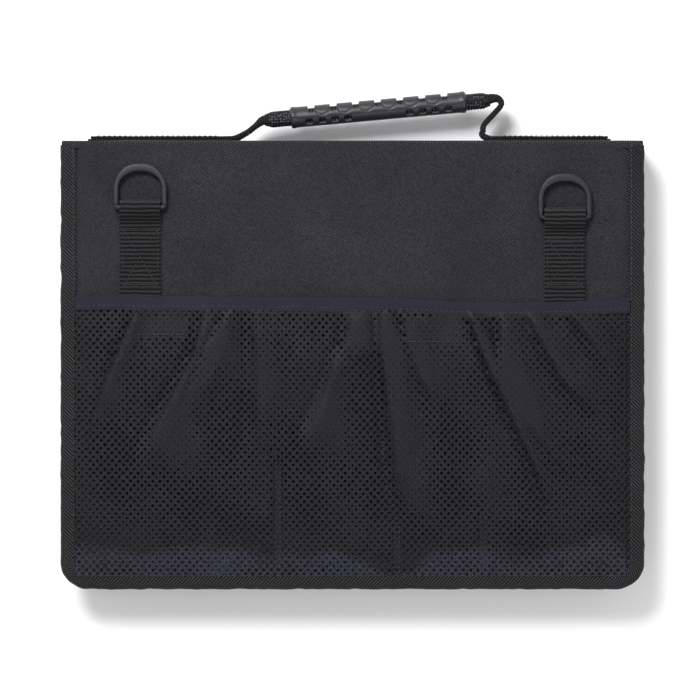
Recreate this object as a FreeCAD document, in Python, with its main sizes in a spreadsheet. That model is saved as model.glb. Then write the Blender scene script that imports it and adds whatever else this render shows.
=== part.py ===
import FreeCAD, Part
import os
import re

import Sketcher

# Zip-round portfolio case, lying on its back cover.
# X runs across the case, Y runs from the bottom edge to the handle, Z is the thickness.
# The origin is the centre of the back cover's outer face, and every length is in millimetres.

SIZES = dict(
    # Overall outline, as seen from the front
    case_width=354,
    case_height=272,
    case_depth=40,
    corner_radius=17,
    # Layers of a cover, from the outside in
    panel_thickness=2.0,
    foam_thickness=3.0,
    board_thickness=1.6,
    lining_thickness=0.8,
    # Binding tape folded over the cover's raw edges
    binding_width=9.8,
    binding_wall=1.0,
    binding_recess=0.2,
    # Spine strip along the top, between the covers
    spine_panel_thickness=1.2,
    spine_board_thickness=1.0,
    spine_lining_thickness=0.4,
    spine_gap=0.4,
    spine_side_clearance=1.0,
    spine_edge_clearance=0.6,
    # Zip wall round the other three sides
    zip_inset=7.0,
    tape_thickness=1.0,
    coil_thickness=2.4,
    coil_height=3.0,
    zip_gap=1.2,
    zip_setback=1.0,
    stop_length=3.5,
    # Zip sliders and their pulls
    slider_length=9.0,
    slider_width=9.0,
    slider_plate=1.2,
    slider_clearance=0.3,
    slider_park=8.0,
    neck_clearance=0.2,
    neck_length=3.0,
    bridge_length=7.0,
    bridge_width=2.0,
    bridge_wall=1.0,
    pull_clearance=0.3,
    pull_thickness=1.0,
    pull_length=24.0,
    pull_width=7.0,
    pull_arm=1.4,
    pull_window=7.0,
    # Document pocket inside the back cover
    inner_pocket_margin=17.2,
    inner_pocket_height=180,
    inner_pocket_lift=4.6,
    inner_pocket_sheet=0.8,
    inner_pocket_edge=4.0,
    inner_pocket_hem=10.0,
    inner_pocket_bottom=14.0,
    # Mesh pocket on the front cover
    mesh_lift=5.6,
    mesh_thickness=0.8,
    mesh_skirt=1.2,
    trim_top=41.0,
    trim_height=8.7,
    trim_thickness=1.6,
    trim_foot=1.8,
    # Hook-and-loop patches on the panel behind the mesh
    patch_thickness=1.2,
    left_patch_x=-115.2,
    left_patch_width=30.3,
    left_patch_height=12.1,
    right_patch_x=49.6,
    right_patch_width=33.2,
    right_patch_height=16.3,
    patch_drop=12.0,
    # Webbing tabs and the rings for a shoulder strap
    webbing_width=25.4,
    webbing_thickness=1.4,
    ring_margin=48.8,
    left_bar_drop=40.8,
    right_bar_drop=46.8,
    bar_diameter=4.0,
    loop_clearance=0.6,
    loop_lift=0.1,
    tab_tuck=3.0,
    ring_inner=26.0,
    ring_arm=3.2,
    ring_crown=4.9,
    ring_reach=26.5,
    ring_foot=2.5,
    ring_corner=11.0,
    ring_thickness=4.0,
    bar_embed=1.0,
    # Carrying handle on the spine
    left_anchor_margin=16.4,
    left_anchor_end=-72.9,
    right_anchor_end=83.8,
    right_anchor_margin=20.2,
    grip_x=-38.0,
    grip_rise=14.8,
    grip_tilt=5.2,
    grip_length=108.0,
    grip_wall=1.2,
    strap_roll_diameter=10.6,
    left_roll_length=15.5,
    right_roll_length=14.5,
    notch_count=7,
    notch_pitch=13.6,
    notch_width=3.3,
    notch_span=6.0,
    hole_width=4.2,
    hole_height=3.9,
    hole_pitch=7.9,
    hole_end=11.5,
    hole_drop=2.6,
    leg_clearance=0.4,
    leg_thickness=3.0,
    # Cutting tools run this far past the faces they open
    cut_margin=1.0,
)

HOLES_PER_GROUP = 4

# Lengths that follow from the sizes above
COVER = "(panel_thickness + foam_thickness + board_thickness + lining_thickness)"
SPINE_FACE = "(case_height / 2)"
SPINE_THICKNESS = "(spine_panel_thickness + spine_board_thickness + spine_lining_thickness)"
COVER_TOP = f"({SPINE_FACE} - {SPINE_THICKNESS} - spine_gap)"
MIDDLE = "(case_depth / 2)"
TAPE_HEIGHT = f"(({MIDDLE} - zip_gap / 2) - {COVER} - coil_height)"
ZIP_TOP = f"({COVER_TOP} - zip_setback)"
COIL_INSET = "(zip_inset - (coil_thickness - tape_thickness) / 2)"
DOUBLE_WEBBING = "(2 * webbing_thickness)"
LOOP_INNER = "(bar_diameter / 2 + loop_clearance)"
LOOP_OUTER = f"({LOOP_INNER} + webbing_thickness)"
BAR_HEIGHT = f"(case_depth + loop_lift + {LOOP_OUTER})"
GRIP_RADIUS = "(strap_roll_diameter / 2 + grip_wall)"

doc = FreeCAD.newDocument("PortfolioCase")
sheet = doc.addObject("Spreadsheet::Sheet", "Sizes")
nodes = {}


def fill_sheet():
    """Write each driving size into the sheet, beside its alias."""
    for row, (alias, value) in enumerate(SIZES.items(), start=1):
        sheet.set(f"A{row}", alias)
        sheet.set(f"B{row}", str(value))
        sheet.setAlias(f"B{row}", alias)
    doc.recompute()


def formula(text):
    """Turn each size's name in a formula into its cell in the sheet."""
    return re.sub(r"[a-z_]+", lambda word: "Sizes." + word.group() if word.group() in SIZES else word.group(), text)


def bind(item, prop, text):
    """Tie one property of an object to a formula of the sheet's sizes."""
    item.setExpression(prop, formula(text))


def place(item, x="0", y="0", z="0"):
    """Tie an object's position to formulas."""
    for axis, text in zip("xyz", (x, y, z)):
        bind(item, f"Placement.Base.{axis}", text)


def turn(item, axis, degrees):
    """Give an object a fixed rotation about an axis through its own origin."""
    item.Placement = FreeCAD.Placement(FreeCAD.Vector(), FreeCAD.Rotation(FreeCAD.Vector(*axis), degrees))


def tilt_like_grip(item, start="0"):
    """Lean an object in the XY plane by the handle's slope, with its own origin this far along the grip."""
    turn(item, (0, 0, 1), 1)
    bind(item, "Placement.Rotation.Angle", "grip_tilt")
    place(item, f"grip_x + ({start}) * cos(grip_tilt)", f"{SPINE_FACE} + grip_rise + ({start}) * sin(grip_tilt)",
          MIDDLE)


def keep(name, item):
    """Name an object as one finished piece of the case."""
    item.Label = name
    nodes[name] = item
    return item


def join(name, *items):
    """Fuse solids into one object."""
    fused = doc.addObject("Part::MultiFuse", name)
    fused.Shapes = list(items)
    return fused


def group(name, *items):
    """Gather separate solids that share one node, such as a pair of stops."""
    gathered = doc.addObject("Part::Compound", name)
    gathered.Links = list(items)
    return gathered


def cut(name, base, *tools):
    """Remove one or more tools from a solid."""
    result = doc.addObject("Part::Cut", name)
    result.Base = base
    result.Tool = tools[0] if len(tools) == 1 else join(name + "_tools", *tools)
    return result


def block(name, left, right, front, back, low, high):
    """Rectangular block between two planes on each axis."""
    item = doc.addObject("Part::Box", name)
    bind(item, "Length", f"({right}) - ({left})")
    bind(item, "Width", f"({back}) - ({front})")
    bind(item, "Height", f"({high}) - ({low})")
    place(item, left, front, low)
    return item


def start_sketch(body, plane):
    """Sketch on one of the body's own origin planes."""
    sketch = body.newObject("Sketcher::SketchObject", body.Name + "_sketch")
    planes = {feature.Role: feature for feature in body.Origin.OriginFeatures}
    sketch.AttachmentSupport = (planes[plane], "")
    sketch.MapMode = "FlatFace"
    return sketch


def dimension(sketch, kind, text, *references):
    """Add one driving dimension whose value follows a formula."""
    index = sketch.addConstraint(Sketcher.Constraint(kind, *references, 1.0))
    bind(sketch, f"Constraints[{index}]", text)


def pad(body, sketch, text):
    """Extrude the sketch by a length."""
    feature = body.newObject("PartDesign::Pad", body.Name + "_pad")
    feature.Profile = sketch
    bind(feature, "Length", text)
    return feature


def cover_plate(name, half_width, bottom, top, radius, thickness):
    """Flat plate whose two lower corners are round and whose two upper corners are square."""
    body = doc.addObject("PartDesign::Body", name)
    sketch = start_sketch(body, "XY_Plane")
    corners = [FreeCAD.Vector(x, y, 0) for x, y in ((-1, -1), (1, -1), (1, 1), (-1, 1))]
    for corner in range(4):
        sketch.addGeometry(Part.LineSegment(corners[corner - 1], corners[corner]), False)
    left, base, right, upper = range(4)
    start, end = 1, 2
    for side, following in ((left, base), (base, right), (right, upper), (upper, left)):
        sketch.addConstraint(Sketcher.Constraint("Coincident", side, end, following, start))
    for side, direction in ((left, "Vertical"), (right, "Vertical"), (base, "Horizontal"), (upper, "Horizontal")):
        sketch.addConstraint(Sketcher.Constraint(direction, side))
    dimension(sketch, "DistanceX", f"-({half_width})", -1, 1, base, start)
    dimension(sketch, "DistanceX", half_width, -1, 1, base, end)
    dimension(sketch, "DistanceY", bottom, -1, 1, base, start)
    dimension(sketch, "DistanceY", top, -1, 1, upper, start)
    block_feature = pad(body, sketch, thickness)
    doc.recompute()
    round_feature = body.newObject("PartDesign::Fillet", name + "_corners")
    round_feature.Base = (block_feature, lower_corners(block_feature.Shape))
    bind(round_feature, "Radius", radius)
    return body


def lower_corners(shape):
    """Names of a plate's two upright edges at its lower end."""
    middle = shape.BoundBox.Center.y
    edges = enumerate(shape.Edges, start=1)
    return [f"Edge{index}" for index, edge in edges
            if edge.BoundBox.XLength + edge.BoundBox.YLength < 0.001 and edge.CenterOfMass.y < middle]


def outline(name, inset, side, depth, thickness, top=COVER_TOP):
    """Plate that follows the case's outline, set in from its edge and lying in one layer of a cover."""
    plate = cover_plate(name, f"case_width / 2 - ({inset})", f"-(case_height / 2 - ({inset}))", top,
                        f"corner_radius - ({inset})", thickness)
    back = side == "back"
    place(plate, z=depth if back else f"case_depth - ({depth}) - ({thickness})")
    return plate


def rim(name, outer, inner, side, depth, thickness, top=COVER_TOP):
    """Strip of even width that runs down one side, along the bottom and up the other side."""
    return cut(name,
               outline(name + "_outer", outer, side, depth, thickness, top),
               outline(name + "_inner", inner, side, f"({depth}) - cut_margin",
                       f"({thickness}) + 2 * cut_margin", f"{top} + cut_margin"))


def tube(name, outer_radius, inner_radius, start, length):
    """Round tube along X, or a solid rod where there is no inner radius."""
    body = doc.addObject("PartDesign::Body", name)
    sketch = start_sketch(body, "YZ_Plane")
    for radius in filter(None, (outer_radius, inner_radius)):
        circle = sketch.addGeometry(Part.Circle(FreeCAD.Vector(), FreeCAD.Vector(0, 0, 1), 1.0), False)
        sketch.addConstraint(Sketcher.Constraint("Coincident", circle, 3, -1, 1))
        dimension(sketch, "Radius", radius, circle)
    pad(body, sketch, length)
    place(body, start)
    return body


def slab(name, corners, thickness):
    """Straight-sided profile in the XY plane, padded up by a thickness."""
    body = doc.addObject("PartDesign::Body", name)
    sketch = start_sketch(body, "XY_Plane")
    count = len(corners)
    for corner in range(count):
        angle = 360.0 * corner / count
        here = FreeCAD.Rotation(FreeCAD.Vector(0, 0, 1), angle).multVec(FreeCAD.Vector(10, 0, 0))
        there = FreeCAD.Rotation(FreeCAD.Vector(0, 0, 1), angle + 360.0 / count).multVec(FreeCAD.Vector(10, 0, 0))
        sketch.addGeometry(Part.LineSegment(here, there), False)
    for corner, (x, y) in enumerate(corners):
        sketch.addConstraint(Sketcher.Constraint("Coincident", corner, 1, (corner - 1) % count, 2))
        dimension(sketch, "DistanceX", x, -1, 1, corner, 1)
        dimension(sketch, "DistanceY", y, -1, 1, corner, 1)
    pad(body, sketch, thickness)
    return body


def make_cover(side):
    """One cover: twill panel, foam, stiff board and lining, with its raw edges bound."""
    crown = outline(f"{side}_crown", "binding_width", side, "0", "panel_thickness")
    edge = outline(f"{side}_edge", "binding_wall", side, "binding_recess + binding_wall",
                   "panel_thickness - binding_recess - binding_wall")
    keep(f"{side}_panel", join(f"{side}_panel_shape", crown, edge))
    keep(f"{side}_foam", outline(f"{side}_foam_shape", "binding_wall", side, "panel_thickness", "foam_thickness"))
    keep(f"{side}_board", outline(f"{side}_board_shape", "binding_wall", side,
                                  "panel_thickness + foam_thickness", "board_thickness"))
    keep(f"{side}_lining", outline(f"{side}_lining_shape", "binding_width", side,
                                   f"{COVER} - lining_thickness", "lining_thickness"))
    folded = outline(f"{side}_fold", "0", side, "binding_recess", f"{COVER} - binding_recess")
    packing = outline(f"{side}_packing", "binding_wall", side, "binding_recess + binding_wall",
                      f"{COVER} - lining_thickness - binding_recess - binding_wall", f"{COVER_TOP} + cut_margin")
    window = outline(f"{side}_window", "binding_width", side, "-cut_margin", f"{COVER} + 2 * cut_margin",
                     f"{COVER_TOP} + cut_margin")
    keep(f"{side}_binding", cut(f"{side}_binding_shape", folded, packing, window))


def make_zip_half(side):
    """Half of the zip wall on one cover: woven tape, nylon coil and a stop at each end of the coil."""
    keep(f"{side}_zip_tape", rim(f"{side}_tape", "zip_inset", "zip_inset + tape_thickness", side,
                                 COVER, TAPE_HEIGHT, ZIP_TOP))
    coil_depth = f"{COVER} + {TAPE_HEIGHT}"
    keep(f"{side}_zip_coil", rim(f"{side}_coil", COIL_INSET, f"{COIL_INSET} + coil_thickness", side,
                                 coil_depth, "coil_height", f"{ZIP_TOP} - stop_length"))
    low = coil_depth if side == "back" else f"case_depth - ({coil_depth}) - coil_height"
    stops = []
    outer = f"(case_width / 2 - {COIL_INSET})"
    for hand, left in (("left", f"-{outer}"), ("right", f"{outer} - coil_thickness")):
        stops.append(block(f"{side}_{hand}_stop", left, f"{left} + coil_thickness", f"{ZIP_TOP} - stop_length",
                           ZIP_TOP, low, f"{low} + coil_height"))
    keep(f"{side}_zip_stops", group(f"{side}_stops", *stops))


def make_spine():
    """Stiffened strip along the top that joins the two covers."""
    half = "(case_width / 2 - spine_side_clearance)"
    low = "spine_edge_clearance"
    high = "case_depth - spine_edge_clearance"
    face = SPINE_FACE
    for layer in ("panel", "board", "lining"):
        inner = f"{face} - spine_{layer}_thickness"
        keep(f"spine_{layer}", block(f"spine_{layer}_shape", f"-{half}", half, inner, face, low, high))
        face = f"({inner})"


def make_inner_pocket():
    """Flat document pocket on the back cover's lining, open towards the spine."""
    half = "(case_width / 2 - binding_width - inner_pocket_margin)"
    bottom = "(-case_height / 2 + binding_width + inner_pocket_bottom)"
    top = f"({bottom} + inner_pocket_height)"
    low = f"({COVER} + inner_pocket_lift)"
    high = f"({low} + inner_pocket_sheet)"
    sides = [
        block("pocket_left_edge", f"-{half}", f"-{half} + inner_pocket_edge", bottom, top, COVER, low),
        block("pocket_right_edge", f"{half} - inner_pocket_edge", half, bottom, top, COVER, low),
        block("pocket_bottom_edge", f"-{half} + inner_pocket_edge", f"{half} - inner_pocket_edge",
              bottom, f"{bottom} + inner_pocket_edge", COVER, low),
    ]
    keep("inner_pocket_edges", join("pocket_edge_strip", *sides))
    hem = f"({top} - inner_pocket_hem)"
    keep("inner_pocket_sheet", block("pocket_sheet", f"-{half}", half, bottom, hem, low, high))
    keep("inner_pocket_hem", block("pocket_hem", f"-{half}", half, hem, top, low, high))


def make_mesh_pocket():
    """Slack mesh pocket on the front cover, sewn into the binding on three sides, with a taped mouth."""
    mouth = "(trim_top - trim_height)"
    window = "(case_width / 2 - binding_width)"
    puff = cover_plate("mesh_outside", window, "-(case_height / 2 - binding_width)", mouth,
                       "corner_radius - binding_width", "mesh_lift + mesh_thickness")
    place(puff, z="case_depth")
    room = cover_plate("mesh_inside", f"{window} - mesh_skirt", "-(case_height / 2 - binding_width - mesh_skirt)",
                       f"{mouth} + cut_margin", "corner_radius - binding_width - mesh_skirt",
                       "mesh_lift + cut_margin")
    place(room, z="case_depth - cut_margin")
    keep("mesh_pocket", cut("mesh_shell", puff, room))
    low = "(case_depth + mesh_lift)"
    band = block("trim_band", f"-{window}", window, mouth, "trim_top", low, f"{low} + trim_thickness")
    left = block("trim_left_foot", f"-{window}", f"-{window} + trim_foot", mouth, "trim_top", "case_depth", low)
    right = block("trim_right_foot", f"{window} - trim_foot", window, mouth, "trim_top", "case_depth", low)
    keep("pocket_trim", join("trim_shape", band, left, right))


def make_hook_patches():
    """Two hook-and-loop patches sewn to the front panel just inside the pocket's mouth."""
    high = "(trim_top - patch_drop)"
    for hand in ("left", "right"):
        middle = f"{hand}_patch_x"
        half = f"{hand}_patch_width / 2"
        keep(f"hook_patch_{hand}", block(f"{hand}_patch", f"{middle} - {half}", f"{middle} + {half}",
                                         f"{high} - {hand}_patch_height", high,
                                         "case_depth", "case_depth + patch_thickness"))


def make_ring_and_tab(hand, centre):
    """Moulded strap ring, and the doubled webbing tab that holds the ring's bar in a loop."""
    bar = f"({SPINE_FACE} - {hand}_bar_drop)"
    half = "webbing_width / 2"
    flat = block(f"{hand}_tab_flat", f"{centre} - {half}", f"{centre} + {half}", "trim_top - tab_tuck", bar,
                 "case_depth", f"case_depth + {DOUBLE_WEBBING}")
    wrap = tube(f"{hand}_tab_wrap", LOOP_OUTER, None, f"{centre} - {half}", "webbing_width")
    eye = tube(f"{hand}_tab_eye", LOOP_INNER, None, f"{centre} - {half} - cut_margin",
               "webbing_width + 2 * cut_margin")
    for item in (wrap, eye):
        bind(item, "Placement.Base.y", bar)
        bind(item, "Placement.Base.z", BAR_HEIGHT)
    keep(f"ring_tab_{hand}", cut(f"{hand}_tab", join(f"{hand}_tab_webbing", flat, wrap), eye))

    outer = cover_plate(f"{hand}_ring_outer", "ring_inner / 2 + ring_arm", "-ring_reach", "ring_foot",
                        "ring_corner", "ring_thickness")
    inner = cover_plate(f"{hand}_ring_inner", "ring_inner / 2", "-(ring_reach - ring_crown)",
                        "ring_foot + cut_margin", "ring_corner - ring_arm", "ring_thickness + 2 * cut_margin")
    for item, sink in ((outer, "0"), (inner, "cut_margin")):
        turn(item, (0, 0, 1), 180)
        place(item, centre, bar, f"{BAR_HEIGHT} - ring_thickness / 2 - {sink}")
    pin = tube(f"{hand}_ring_pin", "bar_diameter / 2", None, f"{centre} - ring_inner / 2 - bar_embed",
               "ring_inner + 2 * bar_embed")
    bind(pin, "Placement.Base.y", bar)
    bind(pin, "Placement.Base.z", BAR_HEIGHT)
    keep(f"ring_{hand}", join(f"{hand}_ring", cut(f"{hand}_ring_frame", outer, inner), pin))


def make_handle():
    """Rolled webbing handle with a moulded grip, sewn flat to the spine at both ends."""
    low = f"{MIDDLE} - webbing_width / 2"
    high = f"{MIDDLE} + webbing_width / 2"
    for hand, start, end in (("left", "left_anchor_margin - case_width / 2", "left_anchor_end"),
                             ("right", "right_anchor_end", "case_width / 2 - right_anchor_margin")):
        keep(f"strap_anchor_{hand}", block(f"{hand}_anchor", start, end, SPINE_FACE,
                                           f"{SPINE_FACE} + leg_thickness", low, high))
    make_strap_legs(low)

    core = tube("strap_roll", "strap_roll_diameter / 2", None, "0",
                "left_roll_length + grip_length + right_roll_length")
    tilt_like_grip(keep("handle_strap", core), "-left_roll_length")
    sleeve = tube("grip_sleeve", GRIP_RADIUS, "strap_roll_diameter / 2", "0", "grip_length")
    tilt_like_grip(keep("handle_grip", cut("grip_shape", sleeve, *grip_openings())))


def grip_openings():
    """Cutting blocks for the notches along the grip's ridge and the small holes low on its front."""
    tools = []
    for index in range(SIZES["notch_count"]):
        middle = f"grip_length / 2 + ({index} - (notch_count - 1) / 2) * notch_pitch"
        tools.append(block(f"notch_{index}", f"{middle} - notch_width / 2", f"{middle} + notch_width / 2",
                           "0", f"{GRIP_RADIUS} + cut_margin", "-notch_span / 2", "notch_span / 2"))
    for index in range(HOLES_PER_GROUP):
        offset = f"hole_end + {index} * hole_pitch"
        for side, middle in (("left", offset), ("right", f"grip_length - ({offset})")):
            tools.append(block(f"hole_{side}_{index}", f"{middle} - hole_width / 2", f"{middle} + hole_width / 2",
                               "-hole_drop - hole_height / 2", "-hole_drop + hole_height / 2",
                               "0", f"{GRIP_RADIUS} + cut_margin"))
    return tools


def make_strap_legs(low):
    """The two short runs of webbing that rise from the spine to the rolled handle."""
    foot = f"({SPINE_FACE} + leg_clearance)"
    left_foot = "(left_anchor_end + leg_clearance)"
    left_end = "(grip_x - left_roll_length * cos(grip_tilt) - leg_clearance - strap_roll_diameter / 2 * sin(grip_tilt))"
    left_height = f"({SPINE_FACE} + grip_rise - left_roll_length * sin(grip_tilt))"
    left = slab("left_leg", [
        (left_foot, foot),
        (left_end, f"{left_height} - leg_thickness"),
        (left_end, f"{left_height} + leg_thickness"),
        (left_foot, f"{foot} + leg_thickness"),
    ], "webbing_width")
    right_foot = "(right_anchor_end - leg_clearance)"
    right_run = "(grip_length + right_roll_length)"
    right_end = (f"(grip_x + {right_run} * cos(grip_tilt) + leg_clearance"
                 " + strap_roll_diameter / 2 * sin(grip_tilt))")
    right_height = f"({SPINE_FACE} + grip_rise + {right_run} * sin(grip_tilt))"
    right = slab("right_leg", [
        (right_foot, foot),
        (right_foot, f"{foot} + leg_thickness"),
        (f"{right_foot} - leg_thickness", f"{foot} + 2 * leg_thickness"),
        (f"{right_end} + 2.5 * leg_thickness", f"{right_height} - leg_thickness"),
        (f"{right_end} + 2 * leg_thickness", f"{right_height} + leg_thickness / 2"),
        (right_end, f"{right_height} + leg_thickness / 2"),
        (right_end, f"{right_height} - leg_thickness / 2"),
        (f"{right_end} + leg_thickness", f"{right_height} - leg_thickness"),
        (f"{right_foot} - 2 * leg_thickness", f"{foot} + 2 * leg_thickness"),
    ], "webbing_width")
    for hand, leg in (("left", left), ("right", right)):
        place(leg, z=low)
        keep(f"strap_leg_{hand}", leg)


def make_slider(level, sign):
    """Zip slider on the right-hand wall, with its pull lying flat along the zip."""
    wall = f"(case_width / 2 - {COIL_INSET})"
    middle = f"({sign}1 * slider_park)"
    half = "slider_width / 2"
    outer = f"({wall} + slider_clearance)"
    face = f"({outer} + slider_plate)"
    inner = f"({wall} - coil_thickness - slider_clearance)"
    ends = (f"{middle} - slider_length / 2", f"{middle} + slider_length / 2")
    depth = (f"{MIDDLE} - {half}", f"{MIDDLE} + {half}")
    neck_half = "(zip_gap / 2 - neck_clearance)"
    room = f"({face} + pull_thickness + 2 * pull_clearance)"
    plate = block(f"{level}_outer_plate", outer, face, *ends, *depth)
    floor = block(f"{level}_inner_plate", f"{inner} - slider_plate", inner, *ends, *depth)
    neck = block(f"{level}_neck", inner, outer, f"{middle} - neck_length / 2", f"{middle} + neck_length / 2",
                 f"{MIDDLE} - {neck_half}", f"{MIDDLE} + {neck_half}")
    arch = block(f"{level}_arch", face, f"{room} + bridge_wall", f"{middle} - bridge_length / 2",
                 f"{middle} + bridge_length / 2", f"{MIDDLE} - bridge_width / 2", f"{MIDDLE} + bridge_width / 2")
    tunnel = block(f"{level}_tunnel", f"{face} - cut_margin", room,
                   f"{middle} - bridge_length / 2 + bridge_wall", f"{middle} + bridge_length / 2 - bridge_wall",
                   f"{MIDDLE} - bridge_width", f"{MIDDLE} + bridge_width")
    bridge = cut(f"{level}_bridge", arch, tunnel)
    keep(f"slider_{level}", join(f"{level}_slider", plate, floor, neck, bridge))
    make_pull(level, sign, middle, face)


def make_pull(level, sign, middle, face):
    """Flat zip pull whose cross pin lies under the slider's bridge."""
    tip = f"({middle} + {sign}1 * pull_length)"
    near = f"({middle} - {sign}1 * pull_thickness / 2)"
    low = f"{face} + pull_clearance"
    high = f"{low} + pull_thickness"
    across = (f"{MIDDLE} - pull_width / 2", f"{MIDDLE} + pull_width / 2")
    ends = (near, tip) if sign == "+" else (tip, near)
    tab = block(f"{level}_pull_tab", low, high, *ends, *across)
    window_ends = (f"{middle} + {sign}1 * pull_thickness / 2", f"{middle} + {sign}1 * pull_window")
    window_ends = window_ends if sign == "+" else window_ends[::-1]
    window = block(f"{level}_pull_window", f"{low} - cut_margin", f"{high} + cut_margin", *window_ends,
                   f"{MIDDLE} - pull_width / 2 + pull_arm", f"{MIDDLE} + pull_width / 2 - pull_arm")
    keep(f"pull_{level}", cut(f"{level}_pull", tab, window))


def write_parts():
    """Check every object and every finished piece, then write one file for each piece."""
    doc.recompute()
    failed = [item.Name for item in doc.Objects if "Invalid" in item.State or "Error" in item.State]
    if failed:
        raise RuntimeError(f"objects that failed: {failed}")
    for name, item in nodes.items():
        shape = item.Shape
        if shape.isNull() or not shape.isValid() or shape.Volume <= 0:
            raise RuntimeError(f"{name} has no valid solid")
    os.makedirs("parts", exist_ok=True)
    for name, item in nodes.items():
        item.Shape.exportStep(f"parts/{name}.step")
    print(f"{len(nodes)} pieces written")


fill_sheet()
for side in ("back", "front"):
    make_cover(side)
    make_zip_half(side)
make_spine()
make_inner_pocket()
make_mesh_pocket()
make_hook_patches()
make_ring_and_tab("left", "(ring_margin - case_width / 2)")
make_ring_and_tab("right", "(case_width / 2 - ring_margin)")
make_handle()
make_slider("upper", "+")
make_slider("lower", "-")
write_parts()
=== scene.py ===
# %% [markdown]
# # A zip-round portfolio case
# The case lies on its back cover. Its frame, its sizes and its moving parts come from the CAD
# model, which the next cell loads. Everything after that is the soft, sewn and moulded surface
# that the eye sees, built as numpy surfaces in metres, in the same frame as the CAD.

import bmesh
import bpy
import numpy as np
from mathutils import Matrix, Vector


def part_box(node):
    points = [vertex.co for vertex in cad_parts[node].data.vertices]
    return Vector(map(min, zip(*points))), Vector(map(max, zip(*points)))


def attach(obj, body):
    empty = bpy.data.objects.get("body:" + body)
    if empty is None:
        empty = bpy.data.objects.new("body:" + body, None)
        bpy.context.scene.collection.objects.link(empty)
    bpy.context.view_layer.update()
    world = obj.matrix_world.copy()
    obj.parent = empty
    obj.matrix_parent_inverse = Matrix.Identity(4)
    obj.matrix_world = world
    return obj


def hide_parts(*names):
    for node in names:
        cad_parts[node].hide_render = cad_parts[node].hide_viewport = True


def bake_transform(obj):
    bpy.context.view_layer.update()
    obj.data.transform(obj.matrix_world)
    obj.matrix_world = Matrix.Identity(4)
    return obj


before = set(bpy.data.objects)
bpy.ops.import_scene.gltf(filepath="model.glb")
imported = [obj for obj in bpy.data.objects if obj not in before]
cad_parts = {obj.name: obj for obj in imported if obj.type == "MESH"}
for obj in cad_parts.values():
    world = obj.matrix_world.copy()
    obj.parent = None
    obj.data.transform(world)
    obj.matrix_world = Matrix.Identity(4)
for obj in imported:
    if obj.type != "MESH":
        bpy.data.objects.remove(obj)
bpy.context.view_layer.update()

# %% [markdown]
# The driving sizes are read from the CAD boxes. Only what a box can't say is written here, in
# millimetres: the radius of a cover's corners and the width of the binding.

# %% Sizes
MM = 0.001
outer_low, outer_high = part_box("front_binding")
spine_low, spine_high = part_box("spine_panel")
HALF_WIDTH = outer_high.x
BOTTOM = outer_low.y
COVER_TOP = outer_high.y
SPINE_FACE = spine_high.y
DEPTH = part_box("front_panel")[1].z
MIDDLE = DEPTH / 2
CORNER = 17 * MM
BAND = 9.8 * MM
COVER = DEPTH - outer_low.z
print(f"case {2 * HALF_WIDTH / MM:.0f} x {(SPINE_FACE - BOTTOM) / MM:.0f} x {DEPTH / MM:.0f} mm")

# %% [markdown]
# ## Helpers
# A sewn object is never perfectly straight, so `wander` gives a line that strays a little, and
# `ripple` does the same over a surface. Both are sums of sine waves with seeded phases, so they
# look uneven and yet come out the same each time.

# %% Uneven lines and surfaces
def wander(along, wavelength, seed):
    """Mean of six sine waves, from 0.6 to 2 times the wavelength, with seeded phases, mostly within -1 to 1."""
    draw = np.random.default_rng(seed)
    waves = wavelength * draw.uniform(0.6, 2.0, 6)
    phases = draw.uniform(0, 2 * np.pi, 6)
    return np.sin(2 * np.pi * np.asarray(along)[..., None] / waves + phases).mean(-1) * 1.6


def ripple(x, y, wavelength, seed):
    """Mean of eight plane sine waves that cross the surface in seeded directions."""
    draw = np.random.default_rng(seed)
    turn = draw.uniform(0, np.pi, 8)
    waves = wavelength * draw.uniform(0.6, 2.0, 8)
    phases = draw.uniform(0, 2 * np.pi, 8)
    across = x[..., None] * np.cos(turn) + y[..., None] * np.sin(turn)
    return np.sin(2 * np.pi * across / waves + phases).mean(-1) * 1.6


def ease(value, low, high):
    """Smooth step: 0 below low, 1 above high, and 3t^2 - 2t^3 between."""
    t = np.clip((np.asarray(value) - low) / (high - low), 0, 1)
    return t * t * (3 - 2 * t)


print("wander at 0, 10 and 20 mm:", np.round(wander(np.array([0, 10, 20]) * MM, 30 * MM, 1), 2))

# %% [markdown]
# Every new piece goes through `add_piece`, which puts the points and faces into a mesh, turns
# the faces outwards, shades it smooth with sharp edges where it really is sharp, and stores how
# far each point lies along and across the cloth, so that a weave can follow the piece.

# %% Make a mesh from arrays
def add_piece(name, points, faces, cloth=None, sharp=40):
    """Mesh object at the origin from an array of points and a list of faces."""
    mesh = bpy.data.meshes.new(name)
    mesh.from_pydata(np.asarray(points, float).reshape(-1, 3).tolist(), [], faces)
    shell = bmesh.new()
    shell.from_mesh(mesh)
    bmesh.ops.recalc_face_normals(shell, faces=shell.faces)
    shell.to_mesh(mesh)
    shell.free()
    if cloth is not None:
        corner = np.zeros(len(mesh.loops), int)
        mesh.loops.foreach_get("vertex_index", corner)
        layer = mesh.uv_layers.new(name="cloth")
        layer.uv.foreach_set("vector", np.asarray(cloth, np.float32).reshape(-1, 2)[corner].ravel())
    mesh.shade_smooth()
    mesh.set_sharp_from_angle(angle=np.radians(sharp))
    piece = bpy.data.objects.new(name, mesh)
    bpy.context.scene.collection.objects.link(piece)
    return piece


def grid_faces(rows, columns, wrap=False):
    """Quads between neighbouring points of a grid; wrap joins the last column to the first."""
    index = np.arange(rows * columns).reshape(rows, columns)
    across = np.roll(index, -1, axis=1) if wrap else index[:, 1:]
    here = index if wrap else index[:, :-1]
    quads = np.stack([here[:-1], across[:-1], across[1:], here[1:]], axis=-1)
    return quads.reshape(-1, 4).tolist()


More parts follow.
